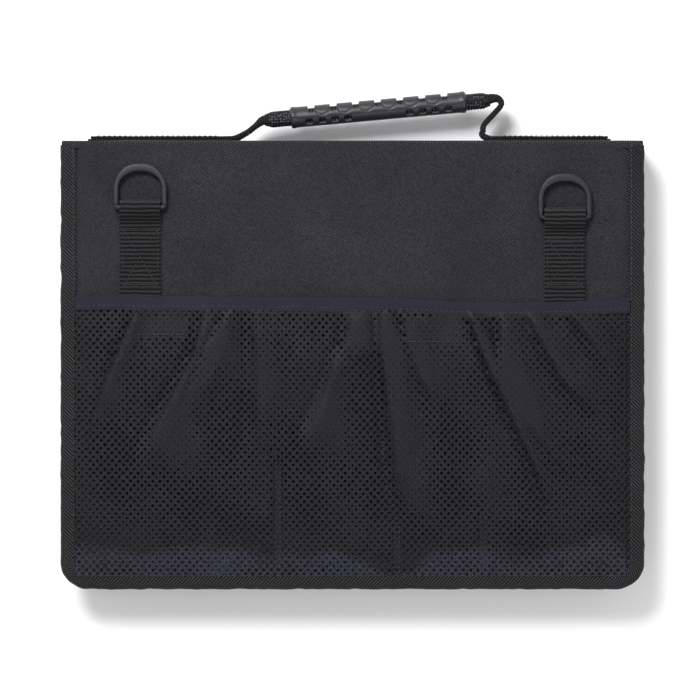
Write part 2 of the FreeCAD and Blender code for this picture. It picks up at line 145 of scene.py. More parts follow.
def tube_faces(rows, columns, closed=False):
    """Faces of a tube of rings: flat caps at its two ends, or a last band of quads where it joins itself."""
    first, last = np.arange(columns), np.arange((rows - 1) * columns, rows * columns)
    if closed:
        ends = np.stack([last, np.roll(last, -1), np.roll(first, -1), first], axis=-1)
    else:
        ends = np.stack([first, last])
    return grid_faces(rows, columns, wrap=True) + ends.tolist()


def repeated(faces, points_each, count):
    """The same faces for many copies of one small shape, whose points follow each other."""
    return [[corner + points_each * index for corner in face] for index in range(count) for face in faces]


def finish_piece(piece, material, body, slot, *nodes):
    """Give a piece its material, the body that it rides on and the CAD nodes that it stands for."""
    piece.data.materials.clear()
    piece.data.materials.append(material)
    if body:
        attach(piece, body)
    if nodes:
        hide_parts(*nodes)
    print(f"{piece.name}: {len(piece.data.polygons)} faces")
    return piece

# %% [markdown]
# Binding, webbing, trim and piping are all a flat profile carried along a path. `carry` does
# that for a whole array at once: each path point gets a copy of the profile, laid out along two
# directions. `ribbon` is the closed profile of a flat strap with rounded edges.

# %% Carry a profile along a path
ALONG_X, ALONG_Y, ALONG_Z = np.eye(3)


def carry(path, side, up, profile):
    """Points: path + side * profile_x + up * profile_y, with one ring of points for each path point."""
    side, up = np.broadcast_to(side, path.shape), np.broadcast_to(up, path.shape)
    profile = np.broadcast_to(profile, (len(path),) + np.shape(profile)[-2:])
    return path[:, None] + side[:, None] * profile[..., :1] + up[:, None] * profile[..., 1:]


def carried_piece(name, path, side, up, profile, closed_path=False, sharp=40):
    """Closed tube or strap along a path, with flat ends unless the path joins itself."""
    rings = carry(path, side, up, profile)
    rows, columns = rings.shape[:2]
    profile = np.broadcast_to(profile, (rows, columns, 2))
    along = np.broadcast_to(path_length(path)[:, None], (rows, columns))
    cloth = np.stack([along, profile[..., 0]], axis=-1)
    return add_piece(name, rings, tube_faces(rows, columns, closed_path), cloth, sharp)


def path_length(path):
    """Distance of each point from the start, measured along the path."""
    return np.concatenate([[0.0], np.linalg.norm(np.diff(path, axis=0), axis=1).cumsum()])


def even_path(points, step):
    """Catmull-Rom curve through a few points, resampled at an even step."""
    points = np.asarray(points, float)
    ends = np.vstack([2 * points[0] - points[1], points, 2 * points[-1] - points[-2]])
    t = np.linspace(0, 1, 40)[:, None]
    basis = 0.5 * np.hstack([-t + 2 * t**2 - t**3, 2 - 5 * t**2 + 3 * t**3,
                             t + 4 * t**2 - 3 * t**3, -t**2 + t**3])
    dense = np.vstack([basis @ ends[start:start + 4] for start in range(len(ends) - 3)])
    distance = path_length(dense)
    wanted = np.linspace(0, distance[-1], max(3, int(distance[-1] / step) + 1))
    return np.stack([np.interp(wanted, distance, dense[:, axis]) for axis in range(3)], axis=1)


def directions(path, closed=False):
    """Unit direction of travel at each point of a path, which may join itself."""
    ahead = np.roll(path, -1, 0) - np.roll(path, 1, 0) if closed else np.gradient(path, axis=0)
    return ahead / np.linalg.norm(ahead, axis=1, keepdims=True)


def oval(power, count):
    """Superellipse |x|^n + |y|^n = 1 as cosines and sines: square with round corners at a high power."""
    turn = np.linspace(0, 2 * np.pi, count, endpoint=False)
    c, s = np.cos(turn), np.sin(turn)
    size = (np.abs(c) ** power + np.abs(s) ** power) ** (-1 / power)
    return c * size, s * size


def ribbon(half_width, half_thickness, power=6.0, count=28):
    """Profile of a flat strap with rounded edges: an oval stretched to this half width and half thickness."""
    c, s = oval(power, count)
    return np.stack([half_width * c, half_thickness * s], axis=-1)


def copies(profile, path):
    """A copy of one profile for each point of a path, so that each can be changed on its own."""
    return np.repeat(profile[None], len(path), axis=0)


print("ribbon profile of", len(ribbon(1, 1)), "points")

# %% [markdown]
# Both covers have the same outline: down one side, round a corner, along the bottom, round the
# other corner and up. `cover_edge` walks it at a chosen inset and also gives the direction that
# points out of the cover, which is all that binding, zip and stitches need.

# %% Walk round the cover
def cover_edge(inset, step, top=COVER_TOP):
    """Path down the left side, along the bottom and up the right side, with its outward directions."""
    radius = CORNER - inset
    half = HALF_WIDTH - inset
    side = top - (BOTTOM + inset + radius)
    base = 2 * (half - radius)
    arc = radius * np.pi / 2
    total = 2 * side + 2 * arc + base
    s = np.linspace(0, total, int(total / step) + 1)
    first, second, third, last = side, side + arc, side + arc + base, side + 2 * arc + base
    turn = np.pi * (1 + np.clip((s - first) / arc, 0, 1) / 2 + np.clip((s - third) / arc, 0, 1) / 2)
    out = np.stack([np.cos(turn), np.sin(turn), np.zeros_like(s)], axis=1)
    x = np.select([s < second, s < third], [-(half - radius), s - second - (half - radius)], half - radius)
    low = BOTTOM + inset + radius
    y = np.select([s < first, s < last], [top - s, low], low + (s - last))
    path = np.stack([x, y, np.zeros_like(s)], axis=1) + out * radius
    return path, out, s


edge, _, edge_along = cover_edge(0, 1 * MM)
print(f"edge to bind: {edge_along[-1]:.3f} m, from {np.round(edge[0], 3)} to {np.round(edge[-1], 3)}")

# %% [markdown]
# ## Materials
# Nearly everything here is black cloth, so the cloths are told apart by weave, sheen and small
# shifts of hue: the twill is a neutral charcoal, the pocket's trim leans to navy, the webbing is
# the darkest and has ribs across it. One function turns a hex colour to Blender's linear
# colour, and one function adds a shader node with its settings and links.

# %% Colour and shader nodes
def linear(code):
    """Linear RGBA from an sRGB hex code."""
    value = np.array([int(code[start:start + 2], 16) for start in (0, 2, 4)]) / 255
    curve = np.where(value <= 0.04045, value / 12.92, ((value + 0.055) / 1.055) ** 2.4)
    return (*curve.tolist(), 1.0)


def add_node(tree, kind, inputs=(), **settings):
    """Add a shader node, choose its options, and set or link each input that is given."""
    node = tree.nodes.new("ShaderNode" + kind)
    for option, value in settings.items():
        setattr(node, option, value)
    for socket, value in dict(inputs).items():
        if isinstance(value, bpy.types.NodeSocket):
            tree.links.new(value, node.inputs[socket])
        else:
            node.inputs[socket].default_value = value
    return node


def new_material(name, roughness, specular=0.5, sheen=0.0, coat=0.0):
    """Material with a Principled shader whose even values are set on its own sockets."""
    material = bpy.data.materials.new(name)
    material.use_nodes = True
    shader = material.node_tree.nodes["Principled BSDF"]
    shader.inputs["Roughness"].default_value = roughness
    shader.inputs["Specular IOR Level"].default_value = specular
    shader.inputs["Sheen Weight"].default_value = sheen
    shader.inputs["Sheen Roughness"].default_value = 0.45
    shader.inputs["Coat Weight"].default_value = coat
    return material, material.node_tree, shader


def blended(tree, share, first, second):
    """Colour that goes from the first to the second with a share; each is a hex code or a socket."""
    mix = add_node(tree, "Mix", data_type="RGBA")
    share_socket, first_socket, second_socket = mix.inputs[0], mix.inputs[6], mix.inputs[7]
    tree.links.new(share, share_socket)
    for socket, value in ((first_socket, first), (second_socket, second)):
        if isinstance(value, str):
            socket.default_value = linear(value)
        else:
            tree.links.new(value, socket)
    return mix.outputs[2]


def noise(tree, place, size, detail=2.0, **inputs):
    """Soft noise whose grains are about this size."""
    inputs = {"Vector": place, "Scale": 1 / size, "Detail": detail, **inputs}
    return add_node(tree, "TexNoise", inputs).outputs["Fac"]


def spread(tree, value, low=0.0, high=1.0, least=0.0, most=1.0):
    """A value that runs from low to high, moved so that it runs from least to most."""
    inputs = {"Value": value, "From Min": low, "From Max": high, "To Min": least, "To Max": most}
    return add_node(tree, "MapRange", inputs).outputs[0]


def dress(tree, shader, colour, height, strength, distance, **settings):
    """Link the shader to its colour, and to a bump of this height pattern."""
    tree.links.new(colour, shader.inputs["Base Color"])
    inputs = {"Height": height, "Strength": strength, "Distance": distance}
    relief = add_node(tree, "Bump", inputs, **settings)
    tree.links.new(relief.outputs["Normal"], shader.inputs["Normal"])


def place_on(tree, cloth_map=False):
    """Where a pattern sits: in the object's own coordinates, or along the piece's cloth map."""
    if cloth_map:
        return add_node(tree, "UVMap", uv_map="cloth").outputs["UV"]
    return add_node(tree, "TexCoord").outputs["Object"]


print("charcoal:", np.round(linear("37363C"), 4))

# %% [markdown]
# A twill weave floats each thread over two others and steps sideways by one, which draws
# diagonal ribs. The real ribs are about 0.5 mm apart, too fine to show from this distance, so
# they are drawn 1.5 to 2.2 mm apart. Short soft noise breaks them into yarns, and a long noise
# gives the uneven dye and handling marks of real cloth. The same recipe gives tape and lining:
# only the spacing, the colours and the direction change.

# %% Woven cloth
CLOUD = 45 * MM


def woven_cloth(name, dark, light, rib, direction="DIAGONAL", follow=False, sheen=0.1, bump=0.25,
                grain=0.9 * MM, wear=0.3):
    """Cloth with ribs this far apart, along the piece's own cloth map if it follows one."""
    material, tree, shader = new_material(name, 0.85, 0.15, sheen)
    place = place_on(tree, follow)
    wave_steps = 10 if direction == "DIAGONAL" else 20
    ribs = add_node(tree, "TexWave", {"Vector": place, "Scale": 2 * np.pi / (wave_steps * rib),
                                      "Distortion": 1.2, "Detail": 2.0, "Detail Scale": 1.4},
                    bands_direction=direction, wave_profile="SIN")
    yarn = noise(tree, place, grain, Roughness=0.6)
    cloudy = noise(tree, place, CLOUD, detail=3.0)
    both = add_node(tree, "Math", {0: ribs.outputs["Fac"], 1: yarn}, operation="MULTIPLY").outputs[0]
    shade = blended(tree, spread(tree, both, 0.08, 0.6), dark, light)
    worn = spread(tree, cloudy, 0.3, 0.7, 1 - wear / 2, 1 + wear / 2)
    tone = add_node(tree, "HueSaturation", {"Value": worn, "Color": shade})
    dress(tree, shader, tone.outputs["Color"], both, bump, 0.4 * MM)
    return material


twill = woven_cloth("polyester_twill", "020203", "3E3D44", 1.55 * MM, grain=1.05 * MM)
binding_tape = woven_cloth("twill_binding_tape", "020203", "39393B", 2.2 * MM, follow=True, bump=0.45)
trim_tape = woven_cloth("navy_folded_trim", "18171F", "2C2A38", 1.5 * MM, follow=True)
lining_cloth = woven_cloth("plain_weave_lining", "0D0D10", "38383F", 1.5 * MM, direction="X", grain=1.1 * MM)
zip_cloth = woven_cloth("woven_zip_tape", "101012", "242428", 1.5 * MM, follow=True)
print("cloths:", [m.name for m in bpy.data.materials])

# %% [markdown]
# Webbing is woven thick and narrow, so its weft shows as ribs from edge to edge. They are drawn
# 2.5 mm apart on the tabs and 1.7 mm apart on the handle's finer webbing. Where the webbing is
# rolled, each yarn crossing shows as a bead.

# %% Webbing
webbing = woven_cloth("ribbed_webbing", "020203", "323235", 2.5 * MM, direction="X", follow=True,
                      sheen=0.06, bump=0.8, grain=0.9 * MM, wear=0.2)
handle_webbing = woven_cloth("fine_ribbed_webbing", "060607", "2C2C2F", 1.7 * MM, direction="X", follow=True,
                             sheen=0.06, bump=0.3, grain=1.2 * MM, wear=0.3)


def bead_braid():
    """Rolled webbing: each yarn crossing is a small pale bead over near-black, about 1.7 mm apart."""
    material, tree, shader = new_material("rolled_webbing", 0.7, 0.25)
    place, scale = place_on(tree), 1 / (1.7 * MM)
    beads = add_node(tree, "TexVoronoi", {"Vector": place, "Scale": scale, "Randomness": 0.45})
    height = spread(tree, beads.outputs["Distance"], 0.15, 0.5)
    dress(tree, shader, blended(tree, height, "4C4C52", "020203"), height, 0.5, 0.3 * MM, invert=True)
    return material


braid = bead_braid()
print("webbing:", webbing.name, handle_webbing.name, braid.name)

# %% [markdown]
# Mesh is knitted from smooth filament, and its small glints are painted into the colour by a fine
# noise. Near the pocket's foot it is doubled, and the two layers look paler and bluer. The doubling
# ends in a line that wanders, so a slow noise is added to the height before it is compared.

# %% Knitted mesh
DOUBLED_FROM, DOUBLED_TO = 38 * MM, 30 * MM
LINE_WANDER = 0.045


def knitted_mesh():
    """Filament yarn in fine noise that paints small glints into the colour; below a wavy line near the foot,
    where the net is doubled, it is paler.
    """
    material, tree, shader = new_material("knitted_mesh", 0.6, 0.2, 0.08)
    place = place_on(tree)
    yarn = noise(tree, place, 0.8 * MM)
    # Painted highlight: fine noise lightens the yarn colour in small glints
    painted_glint = spread(tree, yarn, 0.35, 0.68)
    single = blended(tree, painted_glint, "020204", "191920")
    doubled = blended(tree, painted_glint, "07070B", "303040")
    wave = noise(tree, place, CLOUD, detail=1.0)
    height = add_node(tree, "SeparateXYZ", {0: place}).outputs["Y"]
    line = add_node(tree, "Math", {0: wave, 1: LINE_WANDER, 2: height}, operation="MULTIPLY_ADD")
    hem = BOTTOM + BAND
    foot = spread(tree, line.outputs[0], hem + DOUBLED_FROM, hem + DOUBLED_TO)
    dress(tree, shader, blended(tree, foot, single, doubled), yarn, 0.35, 0.3 * MM)
    return material


mesh_yarn = knitted_mesh()
print("mesh:", mesh_yarn.name)

# %% [markdown]
# The hook-and-loop patches are a dense pile of small loops, drawn with a cell pattern. Thread,
# plastic, rubber, metal, foam and board have no weave, so they share one recipe: two close tones
# over a fine grain, with a trace of relief and a little unevenness in their gloss.

# %% Pile, thread and smooth finishes
def loop_pile():
    """Pile of small loops, 1.1 mm apart."""
    material, tree, shader = new_material("hook_and_loop_pile", 0.9, 0.15, 0.15)
    loops = add_node(tree, "TexVoronoi", {"Vector": place_on(tree), "Scale": 1 / (1.1 * MM)})
    colour = blended(tree, loops.outputs["Distance"], "26262C", "0A0A0C")
    dress(tree, shader, colour, loops.outputs["Distance"], 0.5, 0.4 * MM)
    return material


def smooth_finish(name, dark, light, roughness, grain, bump, specular=0.5, coat=0.0):
    """Moulded or coated surface: two close tones over a fine grain, and a trace of relief."""
    material, tree, shader = new_material(name, roughness, specular, coat=coat)
    speck = noise(tree, place_on(tree), grain, detail=4.0)
    rough = spread(tree, speck, least=roughness - 0.08, most=roughness + 0.1)
    tree.links.new(rough, shader.inputs["Roughness"])
    dress(tree, shader, blended(tree, speck, dark, light), speck, bump, 0.2 * MM)
    return material


pile = loop_pile()
thread = smooth_finish("bonded_nylon_thread", "1C1C20", "38383F", 0.55, 0.6 * MM, 0.2)
black_thread = smooth_finish("black_bonded_thread", "0A0A0B", "202023", 0.6, 0.6 * MM, 0.2)
print("pile and thread:", pile.name, thread.name, black_thread.name)

# %% [markdown]
# The rings are moulded acetal, a hard plastic with a soft shine. The grip is moulded rubber with
# a satin skin. The coil is nylon, the sliders are zinc under black lacquer. Foam and
# fibre board are sealed inside the covers, but still get the colour and grain of the real thing.

# %% Moulded, metal and hidden finishes
acetal = smooth_finish("moulded_acetal", "141419", "202026", 0.5, 2.5 * MM, 0.08, specular=0.34)
grip_rubber = smooth_finish("satin_moulded_rubber", "1B1B20", "2A2A30", 0.45, 1.2 * MM, 0.15, specular=0.48)
nylon = smooth_finish("nylon_coil", "18181B", "2A2A2E", 0.35, 1.5 * MM, 0.05)
lacquer = smooth_finish("black_lacquered_zinc", "1C1C1E", "2C2C2F", 0.28, 1.8 * MM, 0.1, coat=0.4)
foam = smooth_finish("closed_cell_foam", "26262A", "38383C", 0.9, 0.9 * MM, 0.5, specular=0.2)
board = smooth_finish("black_fibre_board", "171616", "252423", 0.85, 1.5 * MM, 0.3, specular=0.2)
print(len(bpy.data.materials), "materials")

# %% [markdown]
# ## Stitches
# A seam reads as a row of short threads that dip into the cloth at both ends. Each one here is a
# six-sided spindle of 26 faces, bowed like a real stitch, and a whole row is one array.

# %% Rows of stitches
STITCH_RINGS, STITCH_SIDES = 5, 6
STITCH_LENGTH, STITCH_RADIUS, STITCH_PITCH = 2.3 * MM, 0.28 * MM, 3.1 * MM


def stitch_points(centres, along, out, length, radius):
    """Spindles centred on the seam: centre + t * along, bowed outwards by 1 - t^2 and tapered at the ends."""
    t = np.linspace(-1, 1, STITCH_RINGS)
    turn = np.linspace(0, 2 * np.pi, STITCH_SIDES, endpoint=False)[None, None, :, None]
    across = np.cross(along, out)
    bow = (1 - t**2)[None, :, None, None] * radius * 1.2
    taper = (np.sqrt(np.clip(1 - t**2, 0.03, 1)) * radius)[None, :, None, None]
    ring = np.cos(turn) * across[:, None, None] + np.sin(turn) * out[:, None, None]
    spine = centres[:, None, None] + along[:, None, None] * (t[None, :, None, None] * length / 2)
    return spine + out[:, None, None] * bow + ring * taper


def stitches(name, rows, radius=STITCH_RADIUS):
    """One piece from several rows, each given as centres, directions and the cloth's outward normal."""
    blocks = [stitch_points(*row, STITCH_LENGTH, radius) for row in rows if len(row[0])]
    points = np.concatenate(blocks)
    one = tube_faces(STITCH_RINGS, STITCH_SIDES)
    return add_piece(name, points, repeated(one, STITCH_RINGS * STITCH_SIDES, len(points)), sharp=180)


def sew(name, rows, body, slot, colour=thread, radius=STITCH_RADIUS):
    """Stitches in these rows, in one colour of thread, riding on one body."""
    return finish_piece(stitches(name, rows, radius=radius), colour, body, slot)


def row_on_surface(centres, out=ALONG_Z):
    """A row through points that already lie on the cloth, which faces outwards in one direction."""
    return centres, directions(centres), np.broadcast_to(out, centres.shape)


def row_on_line(start, end, out, pitch=STITCH_PITCH):
    """Stitches at an even pitch between two points."""
    start, end = np.asarray(start, float), np.asarray(end, float)
    span = np.linalg.norm(end - start)
    count = max(2, int(span / pitch))
    t = (np.arange(count)[:, None] + 0.5) / count
    along = np.broadcast_to((end - start) / span, (count, 3))
    return start + (end - start) * t, along, np.broadcast_to(np.asarray(out, float), (count, 3))


def rows_round(corners, out=ALONG_Z, cross=False, pitch=2.9 * MM):
    """Rows round four corners, and across both diagonals for the X-box that holds webbing."""
    runs = list(zip(corners, corners[1:] + corners[:1]))
    if cross:
        runs += [(corners[0], corners[2]), (corners[1], corners[3])]
    return [row_on_line(start, end, out, pitch) for start, end in runs]


def rectangle(low_x, high_x, low_y, high_y, z):
    """Four corners of a level rectangle, in order round it."""
    return [(low_x, low_y, z), (high_x, low_y, z), (high_x, high_y, z), (low_x, high_y, z)]


print("stitches in 100 mm of seam:", len(row_on_line((0, 0, 0), (0.1, 0, 0), (0, 0, 1))[0]))

# %% [markdown]
# ## The covers
# Each cover is twill over foam over board, quilted down by the binding round its rim, so the
# twill swells as it leaves the binding and puckers a little beside it. `padded_slab` is a grid
# of heights on a flat base. The grid runs under the binding, which hides its edges.

# %% Padded slabs
def padded_slab(name, u, v, height, base, order=(0, 1, 2)):
    """Closed slab: a grid of heights over u and v, upright sides, and one flat base face."""
    u_grid, v_grid = np.meshgrid(u, v)
    rows, columns = u_grid.shape
    top = np.stack([u_grid, v_grid, height], axis=-1).reshape(-1, 3)
    index = np.arange(rows * columns).reshape(rows, columns)
    rim = np.concatenate([index[0, :-1], index[:-1, -1], index[-1, :0:-1], index[:0:-1, 0]])
    foot = top[rim] * (1, 1, 0) + (0, 0, base)
    low = rows * columns + np.arange(len(rim))
    sides = np.stack([rim, np.roll(rim, -1), np.roll(low, -1), low], axis=-1).tolist()
    points = np.concatenate([top, foot])[:, list(order)]
    return add_piece(name, points, grid_faces(rows, columns) + sides + [low.tolist()])


def quilt(x, y, swell, seed, left, right, bottom):
    """Swell * (1 - e^(-distance / 8 mm)) from three bound edges, with ripples and puckers.

    Beside the seam it sinks into a gutter of 0.9 mm * e^-(distance / 2 mm)^2.
    """
    distance = np.minimum(np.minimum(x - left, right - x), y - bottom).clip(0)
    puff = swell * (1 - np.exp(-distance / (8 * MM)))
    waves = 0.22 * MM * ripple(x, y, 70 * MM, seed) + 0.1 * MM * ripple(x, y, 22 * MM, seed + 1)
    puckers = 0.22 * MM * np.exp(-distance / (5 * MM)) * ripple(x, y, 9 * MM, seed + 2)
    gutter = 0.9 * MM * np.exp(-((distance / (2 * MM)) ** 2))
    return puff + waves * ease(distance, 0, 15 * MM) + puckers - gutter


rim_x = HALF_WIDTH - BAND
rim_y = BOTTOM + BAND
TUCK = 4 * MM
FRONT_SWELL, FRONT_SEAM = 1.3 * MM, DEPTH - 0.7 * MM
u = np.linspace(-rim_x - TUCK, rim_x + TUCK, 300)
v = np.linspace(rim_y - TUCK, COVER_TOP, 230)
x, y = np.meshgrid(u, v)
front_skin = FRONT_SEAM + quilt(x, y, FRONT_SWELL, 11, -rim_x, rim_x, rim_y)
front_skin -= 0.5 * MM * ease(y, COVER_TOP - 12 * MM, COVER_TOP)
front_panel = padded_slab("front_twill_panel", u, v, front_skin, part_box("front_panel")[0].z)
finish_piece(front_panel, twill, "front_cover", "twill_fabric", "front_panel")
back_skin = 0.15 * MM * (1 + ripple(x, y, 60 * MM, 21)) * ease(rim_x - np.abs(x), 0, 12 * MM)
back_skin = np.maximum(back_skin, 0) + 0.9 * MM * np.exp(-(rim_x + TUCK - np.abs(x)) / TUCK)
back_panel = padded_slab("back_twill_panel", u, v, back_skin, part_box("back_panel")[1].z)
finish_piece(back_panel, twill, "back_cover", "twill_fabric", "back_panel")

# %% [markdown]
# The raw edges are bound with tape folded round them. Its section is a C: out over the face,
# round the edge and back over the inside. Sewing draws the tape in and lets it out again, so
# both its width and its outline wander by a few tenths of a millimetre.

# %% Binding
TAPE_THICKNESS = 0.9 * MM
FLANGE_FROM = -3 * MM


def open_strip(points, thickness):
    """Closed profile of a strip this thick that follows an open line of points in one plane."""
    ahead = np.gradient(points, axis=0)
    ahead /= np.linalg.norm(ahead, axis=1, keepdims=True)
    normal = np.stack([-ahead[:, 1], ahead[:, 0]], axis=1)
    end = np.sqrt(np.clip(1 - np.linspace(-1, 1, len(points)) ** 16, 0.05, 1))[:, None]
    offset = normal * thickness / 2 * end
    return np.concatenate([points + offset, (points - offset)[::-1]])


def binding_profile():
    """C-shaped line: flat flange, half ellipse round the edge, and the flange back, 0.9 mm thick."""
    flange = np.linspace(-BAND, FLANGE_FROM, 8)
    half = COVER / 2 - 0.55 * MM
    turn = np.linspace(np.pi / 2, -np.pi / 2, 11)
    crown = 0.35 * MM * np.sin(np.pi * (flange + BAND) / BAND)
    top = np.stack([flange, half + crown - 0.1 * MM], axis=1)
    bend = np.stack([FLANGE_FROM + 2.5 * MM * np.cos(turn), half * np.sin(turn)], axis=1)
    under = np.stack([flange[::-1], np.full_like(flange, -half)], axis=1)
    return open_strip(np.concatenate([top, bend, under]), TAPE_THICKNESS)


def bind_cover(side, seed):
    """Binding tape round one cover and its row of stitches."""
    path, out, along = cover_edge(0, 0.9 * MM, COVER_TOP + 0.2 * MM)
    outer = side == "front"
    sign = 1 if outer else -1
    path = path + (0, 0, DEPTH - COVER / 2 - 0.1 * MM if outer else COVER / 2 + 0.2 * MM)
    profile = copies(binding_profile(), path)
    stray = 0.3 * MM * wander(along, 26 * MM, seed) + 0.15 * MM * wander(along, 8 * MM, seed + 1)
    inner = ease(-profile[..., 0], 5 * MM, BAND)
    profile[..., 0] += stray[:, None] + inner * (0.25 * MM * wander(along, 12 * MM, seed + 2))[:, None]
    pucker = 0.16 * MM * np.sin(2 * np.pi * along / STITCH_PITCH)[:, None] * ease(inner, 0.2, 0.7)
    lift = 0.25 * MM * wander(along, 14 * MM, seed + 3)[:, None]
    profile[..., 1] += (pucker + lift) * (profile[..., 1] > 0) * outer
    tape = carried_piece(f"{side}_binding_tape", path, out, sign * ALONG_Z, profile)
    finish_piece(tape, binding_tape, f"{side}_cover", "binding_tape", f"{side}_binding")
    seam, seam_out, seam_along = cover_edge(BAND - 1.6 * MM, STITCH_PITCH)
    seam = seam + (0, 0, DEPTH - 0.1 * MM if outer else 0.3 * MM)
    seam = seam + seam_out * (0.3 * MM * wander(seam_along, 26 * MM, seed))[:, None]
    sew(f"{side}_binding_stitches", [row_on_surface(seam, sign * ALONG_Z)], f"{side}_cover", "binding_tape",
        radius=0.24 * MM if outer else 0.12 * MM)


bind_cover("front", 31)
bind_cover("back", 41)

# %% [markdown]
# ## Spine and folds
# One piece of twill wraps from the front cover over the spine to the back cover, and folds act
# as hinges. In this model the folds are separate strips that run from a cover to the spine.
# Each is a quarter-round along the whole width.

# %% Spine and its folds
spine_u = np.linspace(spine_low.x, spine_high.x, 240)
spine_v = np.linspace(1.6 * MM, DEPTH - 1.6 * MM, 40)
su, sv = np.meshgrid(spine_u, spine_v)
bulge = 0.35 * MM * np.sin(np.pi * sv / DEPTH) + 0.12 * MM * ripple(su, sv, 40 * MM, 51)
spine_cloth = padded_slab("spine_twill", spine_u, spine_v, SPINE_FACE - 0.35 * MM + bulge,
                          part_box("spine_panel")[0].y, order=(0, 2, 1))
finish_piece(spine_cloth, twill, "spine", "twill_fabric", "spine_panel")


def fold_strip(side, seed):
    """Quarter-round strip from a cover's top edge to the spine, 0.9 mm thick, along the whole width."""
    half = spine_high.x - 0.4 * MM
    x = np.linspace(-half, half, 260)
    path = np.stack([x, np.full_like(x, SPINE_FACE - 3 * MM), np.full_like(x, DEPTH - 3 * MM)], axis=1)
    flat = np.stack([np.linspace(-1.8, -0.2, 4) * MM, np.full(4, 2.6 * MM)], axis=1)
    turn = np.linspace(np.pi / 2, 0, 9)
    bend = 2.6 * MM * np.stack([np.cos(turn), np.sin(turn)], axis=1)
    drop = np.stack([np.full(4, 2.6 * MM), np.linspace(-0.5, -3.5, 4) * MM], axis=1)
    profile = open_strip(np.concatenate([flat, bend, drop]), TAPE_THICKNESS)
    wave = 0.14 * MM * wander(x, 45 * MM, seed)[:, None, None]
    z_edge, inward = DEPTH, -1
    if side == "back":
        path[:, 2] = 3.1 * MM
        wave = -np.abs(wave)
        z_edge, inward = 0.0, 1
    strip = carried_piece(f"{side}_fold", path, ALONG_Y, -inward * ALONG_Z, profile + wave)
    finish_piece(strip, twill, None, "twill_fabric")
    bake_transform(strip)


fold_strip("front", 61)
fold_strip("back", 71)


def cover_lining(side, facing, seed):
    """Thin lining over a cover's inside, with a soft ripple on the side that shows."""
    low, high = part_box(f"{side}_lining")
    across = np.linspace(low.x, high.x, 110)
    up = np.linspace(low.y, high.y, 90)
    gx, gy = np.meshgrid(across, up)
    soft = 0.2 * MM * (1 + ripple(gx, gy, 35 * MM, seed)) / 2
    height, base = (high.z - 0.25 * MM + soft, low.z) if facing > 0 else (low.z + 0.25 * MM - soft, high.z)
    piece = padded_slab(f"{side}_lining_cloth", across, up, height, base)
    finish_piece(piece, lining_cloth, f"{side}_cover", "lining_fabric", f"{side}_lining")


cover_lining("back", 1, 81)
cover_lining("front", -1, 82)
spine_in_low, spine_in_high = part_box("spine_lining")
inside_u = np.linspace(spine_in_low.x, spine_in_high.x, 120)
inside_v = np.linspace(spine_in_low.z, spine_in_high.z, 14)
iu, iv = np.meshgrid(inside_u, inside_v)
spine_lining = padded_slab("spine_lining_cloth", inside_u, inside_v,
                           spine_in_low.y + 0.1 * MM * ripple(iu, iv, 30 * MM, 83), spine_in_high.y,
                           order=(0, 2, 1))
finish_piece(spine_lining, lining_cloth, "spine", "lining_fabric", "spine_lining")

# %% [markdown]
# ## Mesh pocket
# The pocket is knitted mesh, slack enough to fold, sewn down on three sides and hemmed with a
# folded tape at its mouth. Its holes are real openings here, so the twill behind them shows and
# shifts as the view moves. First comes the cloth's height: it hangs from the tape, settles
# towards the bottom seam, and is gathered into long folds that run down and outwards.

# %% Folds of the slack mesh
tape_low, tape_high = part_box("pocket_trim")
MOUTH = tape_high.y
TAPE_WIDTH = tape_high.y - tape_low.y
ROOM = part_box("mesh_pocket")[1].z - DEPTH
FOLDS = [
    # Points down the fold in millimetres, then its height and half width
    ([(-130, 33), (-147, -8), (-165, -60)], 3.0, 3.4),
    ([(-88, 32), (-94, 4), (-112, -30), (-134, -80)], 2.4, 5.5),
    ([(-74, 32), (-90, -4), (-100, -40)], 2.0, 4.5),
    ([(-57, 32), (-54, -20), (-55, -75)], 2.0, 8.0),
    ([(0, 32), (3, -2)], 2.0, 7.0),
    ([(-8, 8), (-16, -22), (-32, -62)], 1.8, 5.5),
    ([(19, 32), (24, -20), (30, -66), (48, -118)], 3.0, 7.0),
    ([(31, 32), (44, -8), (58, -34)], 2.2, 4.5),
    ([(70, 32), (88, -11), (108, -53), (128, -104)], 3.4, 3.4),
    ([(90, 32), (95, -10), (115, -42), (143, -77)], 2.6, 5.5),
    ([(106, 32), (130, -9), (162, -40)], 2.4, 5.0),
    ([(132, 33), (150, 10), (166, -12)], 2.0, 4.5),
]
SEAMS = [(-45, -52), (27, -98), (79, -92)]


def fold_height(x, y, points, height, half_width):
    """Ridge along a broken line: height / (1 + (d/w)^2)^1.5, fading downwards.

    It is gentle on one side, and steep over a groove on the other.
    """
    points = np.asarray(points, float) * MM
    best = np.full(x.shape, np.inf)
    signed = np.zeros(x.shape)
    progress = np.zeros(x.shape)
    lengths = path_length(points)
    for index, (start, end) in enumerate(zip(points[:-1], points[1:])):
        way = end - start
        t = np.clip(((x - start[0]) * way[0] + (y - start[1]) * way[1]) / (way @ way), 0, 1)
        dx, dy = x - start[0] - t * way[0], y - start[1] - t * way[1]
        distance = np.hypot(dx, dy)
        nearer = distance < best
        best = np.where(nearer, distance, best)
        signed = np.where(nearer, np.sign(way[0] * dy - way[1] * dx), signed)
        progress = np.where(nearer, (lengths[index] + t * np.hypot(*way)) / lengths[-1], progress)
    width = half_width * MM * np.where(signed > 0, 2.4, 0.75) * (0.75 + 0.8 * progress)
    ridge = 1 / (1 + (best / width) ** 2) ** 1.5
    groove = 0.55 * np.exp(-((best - 1.5 * width) / (0.7 * width)) ** 2) * (signed <= 0)
    fold = height * MM * (ridge - groove) * (1 - ease(progress, 0.5, 1.0))
    return fold * (0.6 + 0.4 * ease(progress, 0, 0.15))


